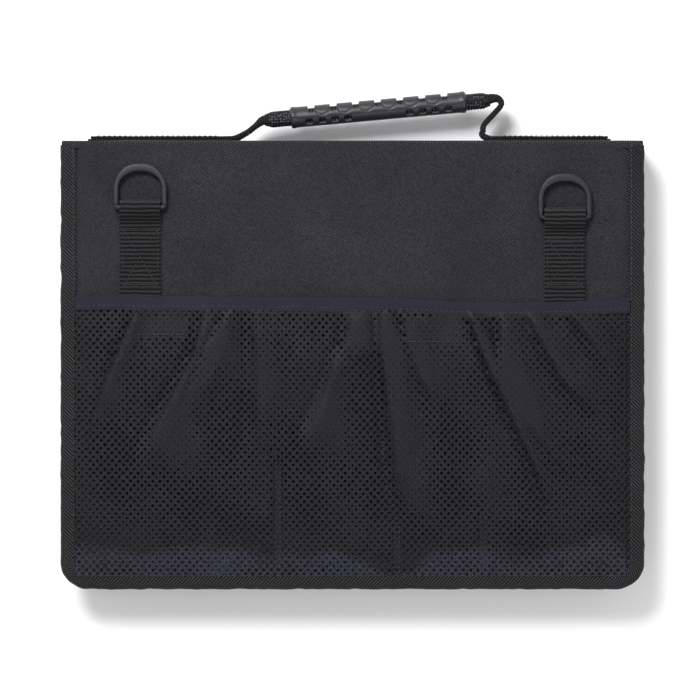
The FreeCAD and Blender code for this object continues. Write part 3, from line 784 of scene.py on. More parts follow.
def tape_height(x):
    """Height of the mouth's tape above the panel: sewn down at the sides, loose between them."""
    inside = (rim_x - np.abs(x)).clip(0)
    loose = 2.7 * MM * (1 - np.exp(-inside / (13 * MM)))
    return DEPTH + 0.7 * MM + loose + 0.25 * MM * wander(x, 90 * MM, 91)


def tape_line(x):
    """Top edge of the tape: it dips between the middle and the right side, where the mesh pulls it down."""
    dip = 3.6 * MM * np.exp(-(((x - 96 * MM) / (58 * MM)) ** 2))
    rise = 1.0 * MM * ease(-x, 60 * MM, HALF_WIDTH)
    return MOUTH + rise - dip + 0.35 * MM * wander(x, 55 * MM, 92)


def mesh_height(x, y):
    """Height of the mesh: hung from the tape, settling to the sewn edges, with folds and small ripples."""
    drop = ((tape_line(x) - y) / (MOUTH - rim_y)).clip(0, 1)
    sides = 1 - np.exp(-(rim_x - np.abs(x)).clip(0) / (9 * MM))
    foot = 1 - np.exp(-(y - rim_y).clip(0) / (10 * MM))
    hung = (tape_height(x) - DEPTH) * (1 - drop) ** 1.6
    slack = (1.7 * MM + 0.5 * MM * ripple(x, y, 60 * MM, 93)) * ease(drop, 0.0, 0.25)
    small = 0.35 * MM * ripple(x * 1.6, y * 0.7, 24 * MM, 94)
    loose = np.maximum(slack + all_folds(x, y) * ease(drop, 0.0, 0.06) + small, 0.15 * MM)
    lifted = np.minimum(hung + loose, ROOM - 0.6 * MM) * sides * foot * (1 - seam_pinch(x, y))
    return DEPTH + 0.35 * MM + lifted


def all_folds(x, y):
    """Sum of the folds."""
    return sum(fold_height(x, y, *fold) for fold in FOLDS)


def seam_pinch(x, y):
    """How far the divider seams hold the mesh down: 0.85 e^-(d/2.6)^2 below each seam's upper end."""
    return sum(0.85 * np.exp(-((x / MM - at) / 2.6) ** 2) * (1 - ease(y / MM, top - 12, top))
               for at, top in SEAMS)


mesh_middle = mesh_height(np.array([0.0]), np.array([-30 * MM])) - DEPTH
print("mesh is", np.round(mesh_middle / MM, 2), "mm up in its middle")

# %% [markdown]
# The mesh itself is a lattice of cells with a six-sided hole in each, taller than it is wide. The
# cells of every other row are shifted by half a cell, which sets the holes out in diagonals.
# Where the cloth is stretched over a ridge the knit closes, and in the hollows it opens, so each
# hole's size follows the folds. The whole net is a few array sums.

# %% The net and its holes
CELL_WIDTH, CELL_HEIGHT = 4.5 * MM, 2.45 * MM
HOLE_WIDTH, HOLE_HEIGHT = 1.9 * MM, 2.0 * MM
MESH_THICKNESS = 0.45 * MM
HOLE_STRAY = 0.16
RIDGE_CLOSES, HOLLOW_OPENS, LEAST_OPEN, MOST_OPEN = 0.24, 0.42, 0.25, 1.3
WELD = 0.02 * MM


def net_cells(left, right, low, high):
    """Centres of the cells, with every other row shifted by half a cell, and the width and height of one."""
    columns = int(round((right - left) / CELL_WIDTH))
    rows = int(round((high - low) / CELL_HEIGHT))
    wide, tall = (right - left) / (columns + 0.5), (high - low) / rows
    column, row = np.meshgrid(np.arange(columns), np.arange(rows))
    x = left + (column + 0.25 + 0.5 * (row % 2)) * wide
    return x.ravel(), (low + (row + 0.5) * tall).ravel(), wide, tall


def openness(x, y, seed):
    """Share of a full hole: less on ridges and where a patch is sewn behind, more in hollows, never even."""
    stray = np.random.default_rng(seed).uniform(-0.14, 0.14, x.shape)
    share = 1.0 - RIDGE_CLOSES * all_folds(x, y) / MM
    share = share + HOLLOW_OPENS * ripple(x, y, 50 * MM, seed) + stray
    for hand in ("left", "right"):
        low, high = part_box(f"hook_patch_{hand}")
        share = np.where((x > low.x) & (x < high.x) & (y > low.y) & (y < high.y), 0.5 * share, share)
    return share.clip(LEAST_OPEN, MOST_OPEN)


def net_piece(name, left, right, low, high):
    """Two faces of mesh and the walls of its holes; each cell is a ring of six quads round a hole."""
    x, y, wide, tall = net_cells(left, right, low, high)
    ring_x = np.array([-1, 0, 1, 1, 0, -1]) * wide / 2
    ring_y = np.array([-1, -1, -1, 1, 1, 1]) * tall / 2
    hole_x = np.array([-0.9, 0, 0.9, 0.9, 0, -0.9]) * HOLE_WIDTH / 2
    hole_y = np.array([-0.5, -1, -0.5, 0.5, 1, 0.5]) * HOLE_HEIGHT / 2
    share = openness(x, y, 98)[:, None]
    shift = np.random.default_rng(99).uniform(-HOLE_STRAY, HOLE_STRAY, (2, len(x), 1)) * MM
    around_x = np.concatenate([np.broadcast_to(ring_x, (len(x), 6)), hole_x * share + shift[0]], axis=1)
    around_y = np.concatenate([np.broadcast_to(ring_y, (len(x), 6)), hole_y * share + shift[1]], axis=1)
    px, py = (x[:, None] + around_x).ravel(), (y[:, None] + around_y).ravel()
    px = px.clip(left, right)
    # Neighbouring cells share their corners, so equal points become one
    keys = np.round(np.stack([px, py], axis=1) / WELD).astype(int)
    _, first, merged = np.unique(keys, axis=0, return_index=True, return_inverse=True)
    px, py = px[first], py[first]
    corner = merged.reshape(len(x), 12)
    outer, inner = corner[:, :6], corner[:, 6:]
    quads = np.stack([outer, np.roll(outer, -1, 1), np.roll(inner, -1, 1), inner], axis=-1).reshape(-1, 4)
    walls = np.stack([inner, np.roll(inner, -1, 1)], axis=-1).reshape(-1, 2)
    z = mesh_height(px, py)
    count = len(px)
    top = np.stack([px, py, z + MESH_THICKNESS / 2], axis=1)
    under = top - (0, 0, MESH_THICKNESS)
    faces = quads.tolist() + (quads[:, ::-1] + count).tolist()
    faces += np.stack([walls[:, 0], walls[:, 1], walls[:, 1] + count, walls[:, 0] + count], axis=1).tolist()
    faces += border_walls(quads, count)
    return add_piece(name, np.concatenate([top, under]), faces, sharp=55)


def border_walls(quads, count):
    """Walls along the net's outer border: edges that only one cell ring uses and no hole does."""
    edges = np.stack([quads[:, 0], quads[:, 1]], axis=1)
    ordered = np.sort(edges, axis=1)
    _, index, uses = np.unique(ordered, axis=0, return_index=True, return_counts=True)
    lone = edges[index[uses == 1]]
    return np.stack([lone[:, 1], lone[:, 0], lone[:, 0] + count, lone[:, 1] + count], axis=1).tolist()


net_left, net_right = -rim_x - 1.5 * MM, rim_x + 1.5 * MM
net_low, net_high = rim_y - 1.5 * MM, tape_low.y + 1.5 * MM
net = net_piece("mesh_pocket_net", net_left, net_right, net_low, net_high)
finish_piece(net, mesh_yarn, "front_cover", "mesh_fabric", "mesh_pocket")
triangles = sum(len(face.vertices) - 2 for face in net.data.polygons)
print("net triangles:", triangles)

# %% [markdown]
# The mouth is hemmed with a navy tape folded over the mesh and sewn through with one row near
# its lower edge. Two hook-and-loop patches close the pocket: they are sewn to the panel behind
# the mesh, so they only show through it.

# %% Tape at the mouth, and the patches behind it
tape_x = np.linspace(-rim_x - 0.5 * MM, rim_x + 0.5 * MM, 420)
tape_path = np.stack([tape_x, tape_line(tape_x) - TAPE_WIDTH / 2, tape_height(tape_x) + 0.2 * MM], axis=1)
tape_section = copies(ribbon(TAPE_WIDTH / 2, 0.7 * MM, 4.0, 32), tape_path)
roll = 0.3 * MM * wander(tape_x, 20 * MM, 95)[:, None]
tape_section[..., 1] += roll * tape_section[..., 0] / TAPE_WIDTH * 2
seam_dip = np.exp(-((tape_section[..., 0] + 0.17 * TAPE_WIDTH) / (0.5 * MM)) ** 2)
tape_section[..., 1] -= 0.16 * MM * seam_dip * (tape_section[..., 1] > 0)
mouth_tape = carried_piece("pocket_mouth_tape", tape_path, ALONG_Y, ALONG_Z, tape_section)
finish_piece(mouth_tape, trim_tape, "front_cover", "trim_tape", "pocket_trim")
seam_x = np.arange(-rim_x + 2 * MM, rim_x, 3.0 * MM)
seam = np.stack([seam_x, tape_line(seam_x) - 0.67 * TAPE_WIDTH, tape_height(seam_x) + 0.72 * MM], axis=1)
mouth_stitches = sew("pocket_mouth_stitches", [row_on_surface(seam)], "front_cover", "trim_tape",
                     radius=0.22 * MM)
seam_rows = []
for at, top in SEAMS:
    for offset in (-1.3, 1.3):
        row_y = np.arange(rim_y + 1 * MM, top * MM, 3.0 * MM)
        row_x = np.full_like(row_y, (at + offset) * MM)
        centres = np.stack([row_x, row_y, mesh_height(row_x, row_y) + MESH_THICKNESS / 2 + 0.1 * MM], axis=1)
        seam_rows.append(row_on_surface(centres))
divider_stitches = sew("pocket_divider_stitches", seam_rows, "front_cover", "mesh_fabric", radius=0.22 * MM)


def hook_patch(hand, seed):
    """Patch of pile with a low crown, sewn round its edge."""
    low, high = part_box(f"hook_patch_{hand}")
    across, up = np.linspace(low.x, high.x, 40), np.linspace(low.y, high.y, 24)
    px, py = np.meshgrid(across, up)
    border = np.minimum(np.minimum(px - low.x, high.x - px), np.minimum(py - low.y, high.y - py))
    crown = high.z - 0.5 * MM + 0.6 * MM * ease(border, 0, 1.2 * MM) + 0.1 * MM * ripple(px, py, 6 * MM, seed)
    patch = padded_slab(f"hook_patch_pile_{hand}", across, up, crown, low.z)
    finish_piece(patch, pile, "front_cover", "hook_tape", f"hook_patch_{hand}")
    inset = 1.5 * MM
    rows = rows_round(rectangle(low.x + inset, high.x - inset, low.y + inset, high.y - inset,
                                high.z + 0.1 * MM))
    through_x = np.arange(low.x + inset, high.x - inset, 2.9 * MM)
    through_y = np.full_like(through_x, low.y + inset)
    centres = np.stack([through_x, through_y, mesh_height(through_x, through_y) + 0.35 * MM], axis=1)
    rows.append(row_on_surface(centres))
    sew(f"hook_patch_stitches_{hand}", rows, "front_cover", "hook_tape", radius=0.3 * MM)


hook_patch("left", 96)
hook_patch("right", 97)

# %% [markdown]
# ## Strap rings and their tabs
# A length of webbing is passed through each ring, folded double and sewn to the panel with a
# box of stitches crossed corner to corner, and bar tacks at both ends. Its path is drawn from
# the side: along the panel, round the ring's bar and back on top of itself.

# %% Webbing tabs
WEB = 25.4 * MM
WEB_THICKNESS = 1.4 * MM
RIB = 2.5 * MM


def ribbed(section_count, along, half_width, seed):
    """Webbing section whose faces rise and fall with the weft ribs and whose edges stray."""
    section = copies(ribbon(half_width, WEB_THICKNESS / 2, 8.0, section_count), along)
    ribs = np.sin(2 * np.pi * along / RIB)[:, None]
    section[..., 1] *= 1 + 0.3 * ribs
    section[..., 0] *= 1 + 0.014 * wander(along, 18 * MM, seed)[:, None] + 0.012 * ribs
    return section


def webbing_tab(hand, seed, slack):
    """Doubled tab: under layer, loop round the ring's bar, and upper layer, as one ribbon."""
    low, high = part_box(f"ring_tab_{hand}")
    ring_low, ring_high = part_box(f"ring_{hand}")
    bar_y, bar_z = ring_low.y + 2.5 * MM, (ring_low.z + ring_high.z) / 2
    middle = (low.x + high.x) / 2
    reach = 3.4 * MM
    under, over = DEPTH + 1.0 * MM, DEPTH + 2.3 * MM
    side_view = [(low.y, under), (low.y + 20 * MM, under), (bar_y - 14 * MM, under),
                 (bar_y - 4 * MM, under + 0.1 * MM), (bar_y + 1.5 * MM, bar_z - reach),
                 (bar_y + slack + reach, bar_z - 0.6 * MM), (bar_y + slack + 1.5 * MM, bar_z + reach),
                 (bar_y - 3 * MM, bar_z + 2.8 * MM), (bar_y - 9 * MM, over + 0.5 * MM),
                 (bar_y - 15 * MM, over), (low.y + 20 * MM, over), (low.y, over)]
    path = even_path([(middle, *point) for point in side_view], 0.42 * MM)
    section = ribbed(24, path_length(path), WEB / 2 - 0.4 * MM, seed)
    up = np.cross(directions(path), ALONG_X)
    tab = carried_piece(f"ring_tab_webbing_{hand}", path, ALONG_X, up, section)
    finish_piece(tab, webbing, "front_cover", "webbing", f"ring_tab_{hand}")
    inset = 2.2 * MM
    box_low, box_high = MOUTH + 6.5 * MM, bar_y - 13 * MM
    surface = over + WEB_THICKNESS / 2 + 0.02 * MM
    left, right = middle - WEB / 2 + inset, middle + WEB / 2 - inset
    rows = rows_round(rectangle(left, right, box_low, box_high, surface), cross=True, pitch=2.7 * MM)
    for tack in (box_low, box_low + 1.0 * MM, box_high, box_high - 1.0 * MM):
        rows.append(row_on_line((left, tack, surface), (right, tack, surface), ALONG_Z, 1.5 * MM))
    sew(f"ring_tab_stitches_{hand}", rows, "front_cover", "webbing", black_thread, 0.3 * MM)
    return bar_y, bar_z, middle


ring_places = {"left": webbing_tab("left", 101, 0.4 * MM), "right": webbing_tab("right", 102, 1.6 * MM)}

# %% [markdown]
# The rings are moulded D-rings: a straight round bar inside the webbing, two flat arms, and a
# crown that is thicker in the middle. The ring is one closed tube whose section changes from
# the bar's circle to the band's rounded rectangle, carried round a D.

# %% Moulded rings
def moulded_ring(hand):
    """Closed tube round a D; half width and half height of its section follow the distance round it."""
    bar_y, bar_z, middle = ring_places[hand]
    ring_low, ring_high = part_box(f"ring_{hand}")
    half = (ring_high.x - ring_low.x) / 2 - 1.65 * MM
    rise = ring_high.y - bar_y - 2.4 * MM
    bend = 13 * MM
    foot = 1.6 * MM
    arc = np.linspace(0, np.pi / 2, 26)
    corner = np.linspace(-np.pi / 2, 0, 7)
    right_foot = np.stack([half - foot + foot * np.cos(corner), foot + foot * np.sin(corner)], axis=1)
    right_side = np.stack([np.full(14, half), np.linspace(foot, rise - bend, 14)], axis=1)
    right_bend = np.stack([half - bend + bend * np.cos(arc), rise - bend + bend * np.sin(arc)], axis=1)
    half_way = np.vstack([right_foot, right_side[1:], right_bend[1:]])
    crown = np.stack([np.linspace(half - bend, bend - half, 6)[1:-1], np.full(4, rise)], axis=1)
    mirrored = half_way[::-1] * (-1, 1)
    bar = np.stack([np.linspace(foot - half, half - foot, 22)[1:-1], np.zeros(20)], axis=1)
    flat = np.vstack([half_way, crown, mirrored, bar])
    path = np.stack([middle + flat[:, 0], bar_y + flat[:, 1], np.full(len(flat), bar_z)], axis=1)
    side = np.cross(directions(path, closed=True), ALONG_Z)
    height = flat[:, 1]
    on_arm = ease(height, 0.3 * MM, 3.5 * MM)
    on_crown = ease(height, rise - 8 * MM, rise)
    half_width = (1.75 - 0.1 * on_arm + 0.95 * on_crown) * MM
    half_height = (1.75 + 0.25 * on_arm) * MM
    c, s = oval(2 + 1.4 * on_arm[:, None], 28)
    section = np.stack([half_width[:, None] * c, half_height[:, None] * s], axis=-1)
    ring = carried_piece(f"moulded_ring_{hand}", path, side, ALONG_Z, section, closed_path=True)
    finish_piece(ring, acetal, f"strap_ring_{hand}", "ring_acetal", f"ring_{hand}")


moulded_ring("left")
moulded_ring("right")

# %% [markdown]
# ## Handle
# One long webbing makes the handle. Its ends are sewn flat on the spine, its legs leave the spine
# and turn on edge, and its middle is rolled into a rope that the rubber grip is moulded round.
# `strap` carries a section whose half width and half thickness change along the path, and whose
# power changes from a flat strip's to a round rope's. At a joint the strap is split in two.

# %% Strap that changes section
STRAP = 3.0 * MM
GRIP_TILT = np.radians(5.2)
grip_low, grip_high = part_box("handle_grip")
roll_low, roll_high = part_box("handle_strap")
ROLL = roll_high.z - MIDDLE
GRIP = grip_high.z - MIDDLE
slope = np.array([np.cos(GRIP_TILT), np.sin(GRIP_TILT), 0.0])
rise = np.array([-np.sin(GRIP_TILT), np.cos(GRIP_TILT), 0.0])
roll_start = np.array([roll_low.x + ROLL * np.sin(GRIP_TILT), roll_low.y + ROLL * np.cos(GRIP_TILT), MIDDLE])
roll_end = np.array([roll_high.x - ROLL * np.sin(GRIP_TILT), roll_high.y - ROLL * np.cos(GRIP_TILT), MIDDLE])
grip_start = np.array([grip_low.x + GRIP * np.sin(GRIP_TILT), grip_low.y + GRIP * np.cos(GRIP_TILT), MIDDLE])
GRIP_LENGTH = (grip_high.x - grip_low.x - 2 * GRIP * np.sin(GRIP_TILT)) / np.cos(GRIP_TILT)
print(f"grip {GRIP_LENGTH / MM:.1f} mm long, {2 * GRIP / MM:.1f} mm thick")


def strap(name, path, start, end, seed, turns_at=0.0):
    """Strap along a path in the XY plane; start and end give half width, half thickness and power."""
    share = ease(np.linspace(0, 1, len(path)), turns_at, 1)[:, None]
    width, thickness, power = [a + (b - a) * share for a, b in zip(start, end)]
    c, s = oval(power, 40)
    along = path_length(path)
    ribs = 1 + 0.07 * MM / thickness * np.sin(2 * np.pi * along / (1.7 * MM))[:, None]
    stray = 1 + 0.02 * wander(along, 15 * MM, seed)[:, None]
    section = np.stack([width * c * stray, thickness * s * ribs], axis=-1)
    return carried_piece(name, path, ALONG_Z, np.cross(ALONG_Z, directions(path)), section)

# %% [markdown]
# The sewn ends are two layers of webbing, each with its own edge line, held by an X-box of
# stitches that shows from behind the spine.

# %% Sewn ends on the spine
FLAT = (WEB / 2, STRAP / 4, 8.0)
DOUBLE = (WEB / 2, STRAP / 2, 8.0)
ROUND = (ROLL * 0.74, ROLL * 0.62, 2.2)


def sewn_end(hand, seed):
    """Two layers of webbing on the spine, the upper one a little shorter, with their stitches."""
    low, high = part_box(f"strap_anchor_{hand}")
    inner, outer = (high.x, low.x) if hand == "left" else (low.x, high.x)
    turn_back = 1.6 * MM * np.sign(outer - inner)
    for layer, height in (("under", STRAP / 4), ("upper", 3 * STRAP / 4)):
        far = outer if layer == "under" else outer - turn_back
        x = np.linspace(inner, far, 200)
        y = SPINE_FACE + height + 0.12 * MM * (1 + wander(x, 30 * MM, seed)) * (layer == "upper")
        path = np.stack([x, y, np.full_like(x, MIDDLE)], axis=1)
        piece = strap(f"strap_end_{hand}_{layer}", path, FLAT, FLAT, seed)
        nodes = (f"strap_anchor_{hand}",) if layer == "under" else ()
        finish_piece(piece, handle_webbing, "spine", "webbing", *nodes)
    inset = 2.4 * MM
    near, far = sorted((inner + 0.1 * (outer - inner), outer - 3 * turn_back))
    surface = SPINE_FACE + STRAP + 0.12 * MM
    low_z, high_z = MIDDLE - WEB / 2 + inset, MIDDLE + WEB / 2 - inset
    corners = [(x, surface, z) for x, z in ((near, low_z), (far, low_z), (far, high_z), (near, high_z))]
    rows = rows_round(corners, ALONG_Y, cross=True, pitch=STITCH_PITCH)
    sew(f"strap_end_stitches_{hand}", rows, "spine", "webbing", black_thread, 0.22 * MM)
    return inner


left_root = sewn_end("left", 111)
right_root = sewn_end("right", 112)

# %% [markdown]
# As a leg leaves the spine it folds in half along its length, which lets it bend both ways. The
# left leg rises straight into the roll. The right leg is slack, so it doubles back in an S
# before it reaches the roll's end. The paths have only the points that those bends need, and
# each leg is cut in two.


def off_root(root, *places):
    """Points beside the spine: how far along it from a sewn end, and how far out, in millimetres."""
    return [(root + along * MM, SPINE_FACE + out * MM, MIDDLE) for along, out in places]


LEGS = {
    "left": (off_root(left_root, (-5, 1.7), (1.5, 2.4), (9, 6.2)),
             off_root(left_root, (9, 6.2), (14.5, 10.6))
             + [roll_start - 1.5 * MM * slope, roll_start + 2.5 * MM * slope]),
    "right": (off_root(right_root, (6, 1.7), (-0.5, 2.2), (-4.6, 4.6), (-4.2, 6.6)),
              off_root(right_root, (-4.2, 6.6), (-3.2, 11.0), (3.0, 17.8), (7.2, 23.2), (5.2, 26.6))
              + [roll_end + 1.0 * MM * slope + 0.8 * MM * rise, roll_end - 2.5 * MM * slope]),
}
MID_LEG = (WEB / 4, STRAP / 2 * 1.15, 3.5)
for hand, (lower, upper) in LEGS.items():
    lower_leg = strap(f"strap_leg_lower_{hand}", even_path(lower, 0.4 * MM), DOUBLE, MID_LEG, 113)
    finish_piece(lower_leg, handle_webbing, None, "webbing", f"strap_leg_{hand}")
    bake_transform(lower_leg)
    upper_leg = strap(f"strap_leg_upper_{hand}", even_path(upper, 0.4 * MM), MID_LEG, ROUND, 114,
                      turns_at=0.62 if hand == "right" else 0.3)
    finish_piece(upper_leg, handle_webbing, None, "webbing")
    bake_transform(upper_leg)


def rolled_strap():
    """Rope of rolled webbing: radius steps out at the free edge, with a bead 1.9 mm apart for each yarn."""
    along = np.linspace(0, np.linalg.norm(roll_end - roll_start), 420)
    path = roll_start + along[:, None] * slope
    turn = np.linspace(0, 2 * np.pi, 108, endpoint=False)
    lap = (turn[None, :] - 0.9 - along[:, None] / (55 * MM)) % (2 * np.pi)
    row = np.round(18 * turn / (2 * np.pi))
    crossing = np.cos(np.pi * along[:, None] / (1.9 * MM) + np.pi / 2 * (row % 2)) ** 2
    beads = np.abs(np.cos(9 * turn)) * crossing
    radius = ROLL - 1.05 * MM + 0.55 * MM * lap / (2 * np.pi) + 0.5 * MM * beads
    radius = radius - 1.3 * MM * (1 - ease(np.minimum(along, along[-1] - along), 0, 5 * MM))[:, None]
    section = np.stack([radius * np.cos(turn), radius * np.sin(turn)], axis=-1)
    return carried_piece("rolled_strap", path, rise, ALONG_Z, section, sharp=180)


finish_piece(rolled_strap(), braid, "handle", "webbing", "handle_strap")

# %% [markdown]
# The grip is a rubber tube moulded over the rope. Along its ridge are seven square notches with
# oval pads between them, and low on its front are two groups of four small square holes. All of
# it is one surface of distance along and angle round, whose radius is lowered at each notch and
# hole down to the strap and in a fine groove round each pad. The floors of the notches and holes
# are the strap itself, so those faces take its material.

# %% Moulded grip
NOTCHES = 7
NOTCH_PITCH, NOTCH_WIDTH, NOTCH_SPAN = 13.6 * MM, 3.9 * MM, 13.2 * MM
HOLES = 4
HOLE_PITCH, HOLE_LONG, HOLE_WIDE, HOLE_END = 7.9 * MM, 4.2 * MM, 3.9 * MM, 11.5 * MM


def square_pit(across, up, half_across, half_up, soft=0.35 * MM):
    """1 inside a rounded square and 0 outside, with a slope this soft between."""
    distance = ((np.abs(across) / half_across) ** 5 + (np.abs(up) / half_up) ** 5) ** 0.2
    return 1 - ease((distance - 1) * min(half_across, half_up), -soft, soft)


def grip_surface():
    """Radius = wall + raised ridge - grooves - notches and holes + end beads, over distance and angle."""
    along = np.linspace(0, GRIP_LENGTH, 460)[:, None]
    turn = np.linspace(-np.pi, np.pi, 170, endpoint=False)[None, :]
    arc = (turn - 0.16) * GRIP
    middle = along - GRIP_LENGTH / 2
    reach = (NOTCHES - 1) / 2 * NOTCH_PITCH
    last = NOTCHES // 2
    nearest = np.clip(np.round(middle / NOTCH_PITCH), -last, last) * NOTCH_PITCH
    notch = square_pit(middle - nearest, arc, NOTCH_WIDTH / 2, NOTCH_SPAN / 2)
    pad_centre = (np.clip(np.floor(middle / NOTCH_PITCH), -last, last - 1) + 0.5) * NOTCH_PITCH
    pad = np.hypot((middle - pad_centre) / (5.4 * MM), arc / (9.2 * MM))
    band = 0.45 * MM * (1 - ease(np.abs(arc), 8.8 * MM, 10.2 * MM))
    groove = -0.4 * MM * np.exp(-((pad - 1.0) / 0.09) ** 2) * (np.abs(middle) < reach)
    low_front = (turn - np.pi * 0.7) * GRIP
    from_end = np.minimum(along, GRIP_LENGTH - along)
    nearest_hole = HOLE_END + np.clip(np.round((from_end - HOLE_END) / HOLE_PITCH), 0, HOLES - 1) * HOLE_PITCH
    hole = square_pit(from_end - nearest_hole, low_front, HOLE_LONG / 2, HOLE_WIDE / 2, 0.3 * MM)
    bead = 0.35 * MM * np.exp(-((from_end - 2 * MM) / (1.4 * MM)) ** 2)
    rounding = -1.0 * MM * (1 - ease(from_end, 0, 1.1 * MM))
    panel_line = np.exp(-((np.abs(low_front) - 3.4 * MM) / (0.5 * MM)) ** 2)
    panel = 0.25 * MM * panel_line * ease(from_end, 3 * MM, 6 * MM)
    pit = np.maximum(notch, hole)
    return along, turn, GRIP - 0.4 * MM + band + groove + bead + rounding + panel - 1.8 * MM * pit, pit


grip_along, grip_turn, grip_radius, grip_pit = grip_surface()
grip_path = grip_start + grip_along * slope
grip_section = np.stack([grip_radius * np.cos(grip_turn), grip_radius * np.sin(grip_turn)], axis=-1)
grip = carried_piece("moulded_grip", grip_path, rise, ALONG_Z, grip_section, sharp=180)
finish_piece(grip, grip_rubber, "handle", "grip_rubber", "handle_grip")
grip.data.materials.append(braid)
in_pit = np.concatenate([(grip_pit[:-1] > 0.75).ravel(), [False, False]])
grip.data.polygons.foreach_set("material_index", in_pit.astype(np.int32))
print("faces that show the strap through the grip:", int(in_pit.sum()))

# %% [markdown]
# ## Zip
# The zip runs round three sides between the covers. Each half is a woven tape and a coil: one
# nylon filament wound into teeth, which mesh with the other half's. The teeth are bent loops
# 1.9 mm apart, all copies of one small shape turned to follow the edge.

# %% Zip tapes and coils
tape_zip_low, tape_zip_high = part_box("back_zip_tape")
coil_low, coil_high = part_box("back_zip_coil")
ZIP_INSET = HALF_WIDTH - tape_zip_high.x
ZIP_TOP = tape_zip_high.y
ZIP_TAPE = 1.0 * MM
COIL_INSET = HALF_WIDTH - coil_high.x
COIL_WIDTH = 2.4 * MM
TOOTH_PITCH = 1.9 * MM
TOOTH_RINGS, TOOTH_SIDES = 7, 5
FILAMENT = 0.55 * MM


def zip_tape(side, seed):
    """Woven tape on edge: a thin upright ribbon round the edge, sewn under the binding."""
    path, out, along = cover_edge(ZIP_INSET + ZIP_TAPE / 2, 1.6 * MM, ZIP_TOP)
    low, high = tape_zip_low.z - 0.4 * MM, coil_low.z + 0.8 * MM
    middle = (low + high) / 2 if side == "back" else DEPTH - (low + high) / 2
    path = path + (0, 0, middle)
    section = copies(ribbon((high - low) / 2, ZIP_TAPE / 2, 8.0, 24), path)
    free = 1 - np.abs(section[..., 0]) / (high - low)
    section[..., 1] += 0.25 * MM * wander(along, 40 * MM, seed)[:, None] * free
    tape = carried_piece(f"{side}_zip_tape_woven", path, ALONG_Z, out, section)
    finish_piece(tape, zip_cloth, f"{side}_cover", "zip_tape", f"{side}_zip_tape")


def coil_teeth(side):
    """Bent loops along the tape's edge: each is a rod that runs out, hooks over the middle and returns."""
    path, out, _ = cover_edge(COIL_INSET + COIL_WIDTH / 2, TOOTH_PITCH, coil_high.y)
    ahead = directions(path)
    bend = np.linspace(-np.pi / 2, np.pi / 2, TOOTH_RINGS)
    reach = coil_high.z - coil_low.z
    line = np.stack([np.sin(bend) * COIL_WIDTH / 2 * 0.78, np.cos(bend) * reach * 0.62], axis=1)
    around = np.linspace(0, 2 * np.pi, TOOTH_SIDES, endpoint=False)
    normal = np.stack([np.sin(bend), np.cos(bend)], axis=1)
    loop = line[:, None] + normal[:, None] * FILAMENT / 2 * np.cos(around)[None, :, None]
    depth = np.broadcast_to(FILAMENT * np.sin(around), (TOOTH_RINGS, TOOTH_SIDES))
    base = coil_low.z + 0.25 * MM if side == "back" else DEPTH - coil_low.z - 0.25 * MM
    sign = 1 if side == "back" else -1
    points = (path[:, None, None] + out[:, None, None] * loop[None, ..., :1]
              + ahead[:, None, None] * depth[None, ..., None]
              + ALONG_Z * (base + sign * loop[None, ..., 1:]))
    faces = repeated(tube_faces(TOOTH_RINGS, TOOTH_SIDES), TOOTH_RINGS * TOOTH_SIDES, len(path))
    teeth = add_piece(f"{side}_zip_coil_teeth", points, faces, sharp=180)
    finish_piece(teeth, nylon, f"{side}_cover", "zip_coil", f"{side}_zip_coil")


for side, seed in (("back", 121), ("front", 122)):
    zip_tape(side, seed)
    coil_teeth(side)

# %% [markdown]
# Sliders, pulls and end stops are small zinc castings. Their CAD boxes give their places, and
# each gets a rounded, tumbled shape: bodies are bowed plates joined by a neck, and a pull is a
# flat bar with an open eye.

# %% Sliders, pulls and stops
def pebble(low, high, power=5.0, rows=14, columns=24):
    """Points of a superellipsoid that fills a box: a block with soft edges, closed at both poles."""
    tilt = np.linspace(-np.pi / 2, np.pi / 2, rows + 2)[1:-1][:, None]
    turn = np.linspace(0, 2 * np.pi, columns, endpoint=False)[None, :]
    x, y = np.cos(tilt) * np.cos(turn), np.cos(tilt) * np.sin(turn)
    flat = np.stack(np.broadcast_arrays(x, y, np.sin(tilt)), axis=-1)
    size = (np.abs(flat) ** power).sum(-1, keepdims=True) ** (-1 / power)
    low, high = np.array(low), np.array(high)
    body = ((flat * size).reshape(-1, 3) + 1) / 2 * (high - low) + low
    centre = (low + high) / 2 * (1, 1, 0)
    poles = [centre + (0, 0, low[2]), centre + (0, 0, high[2])]
    count = rows * columns
    ring = np.arange(columns)
    faces = grid_faces(rows, columns, wrap=True)
    faces += np.stack([np.roll(ring, -1), ring, np.full(columns, count)], axis=1).tolist()
    top = ring + (rows - 1) * columns
    faces += np.stack([top, np.roll(top, -1), np.full(columns, count + 1)], axis=1).tolist()
    return np.concatenate([body, poles]), faces


def joined(parts):
    """Points and faces of several closed shapes as one list."""
    points, faces, start = [], [], 0
    for part_points, part_faces in parts:
        points.append(np.asarray(part_points).reshape(-1, 3))
        faces += [[corner + start for corner in face] for face in part_faces]
        start += len(points[-1])
    return np.concatenate(points), faces


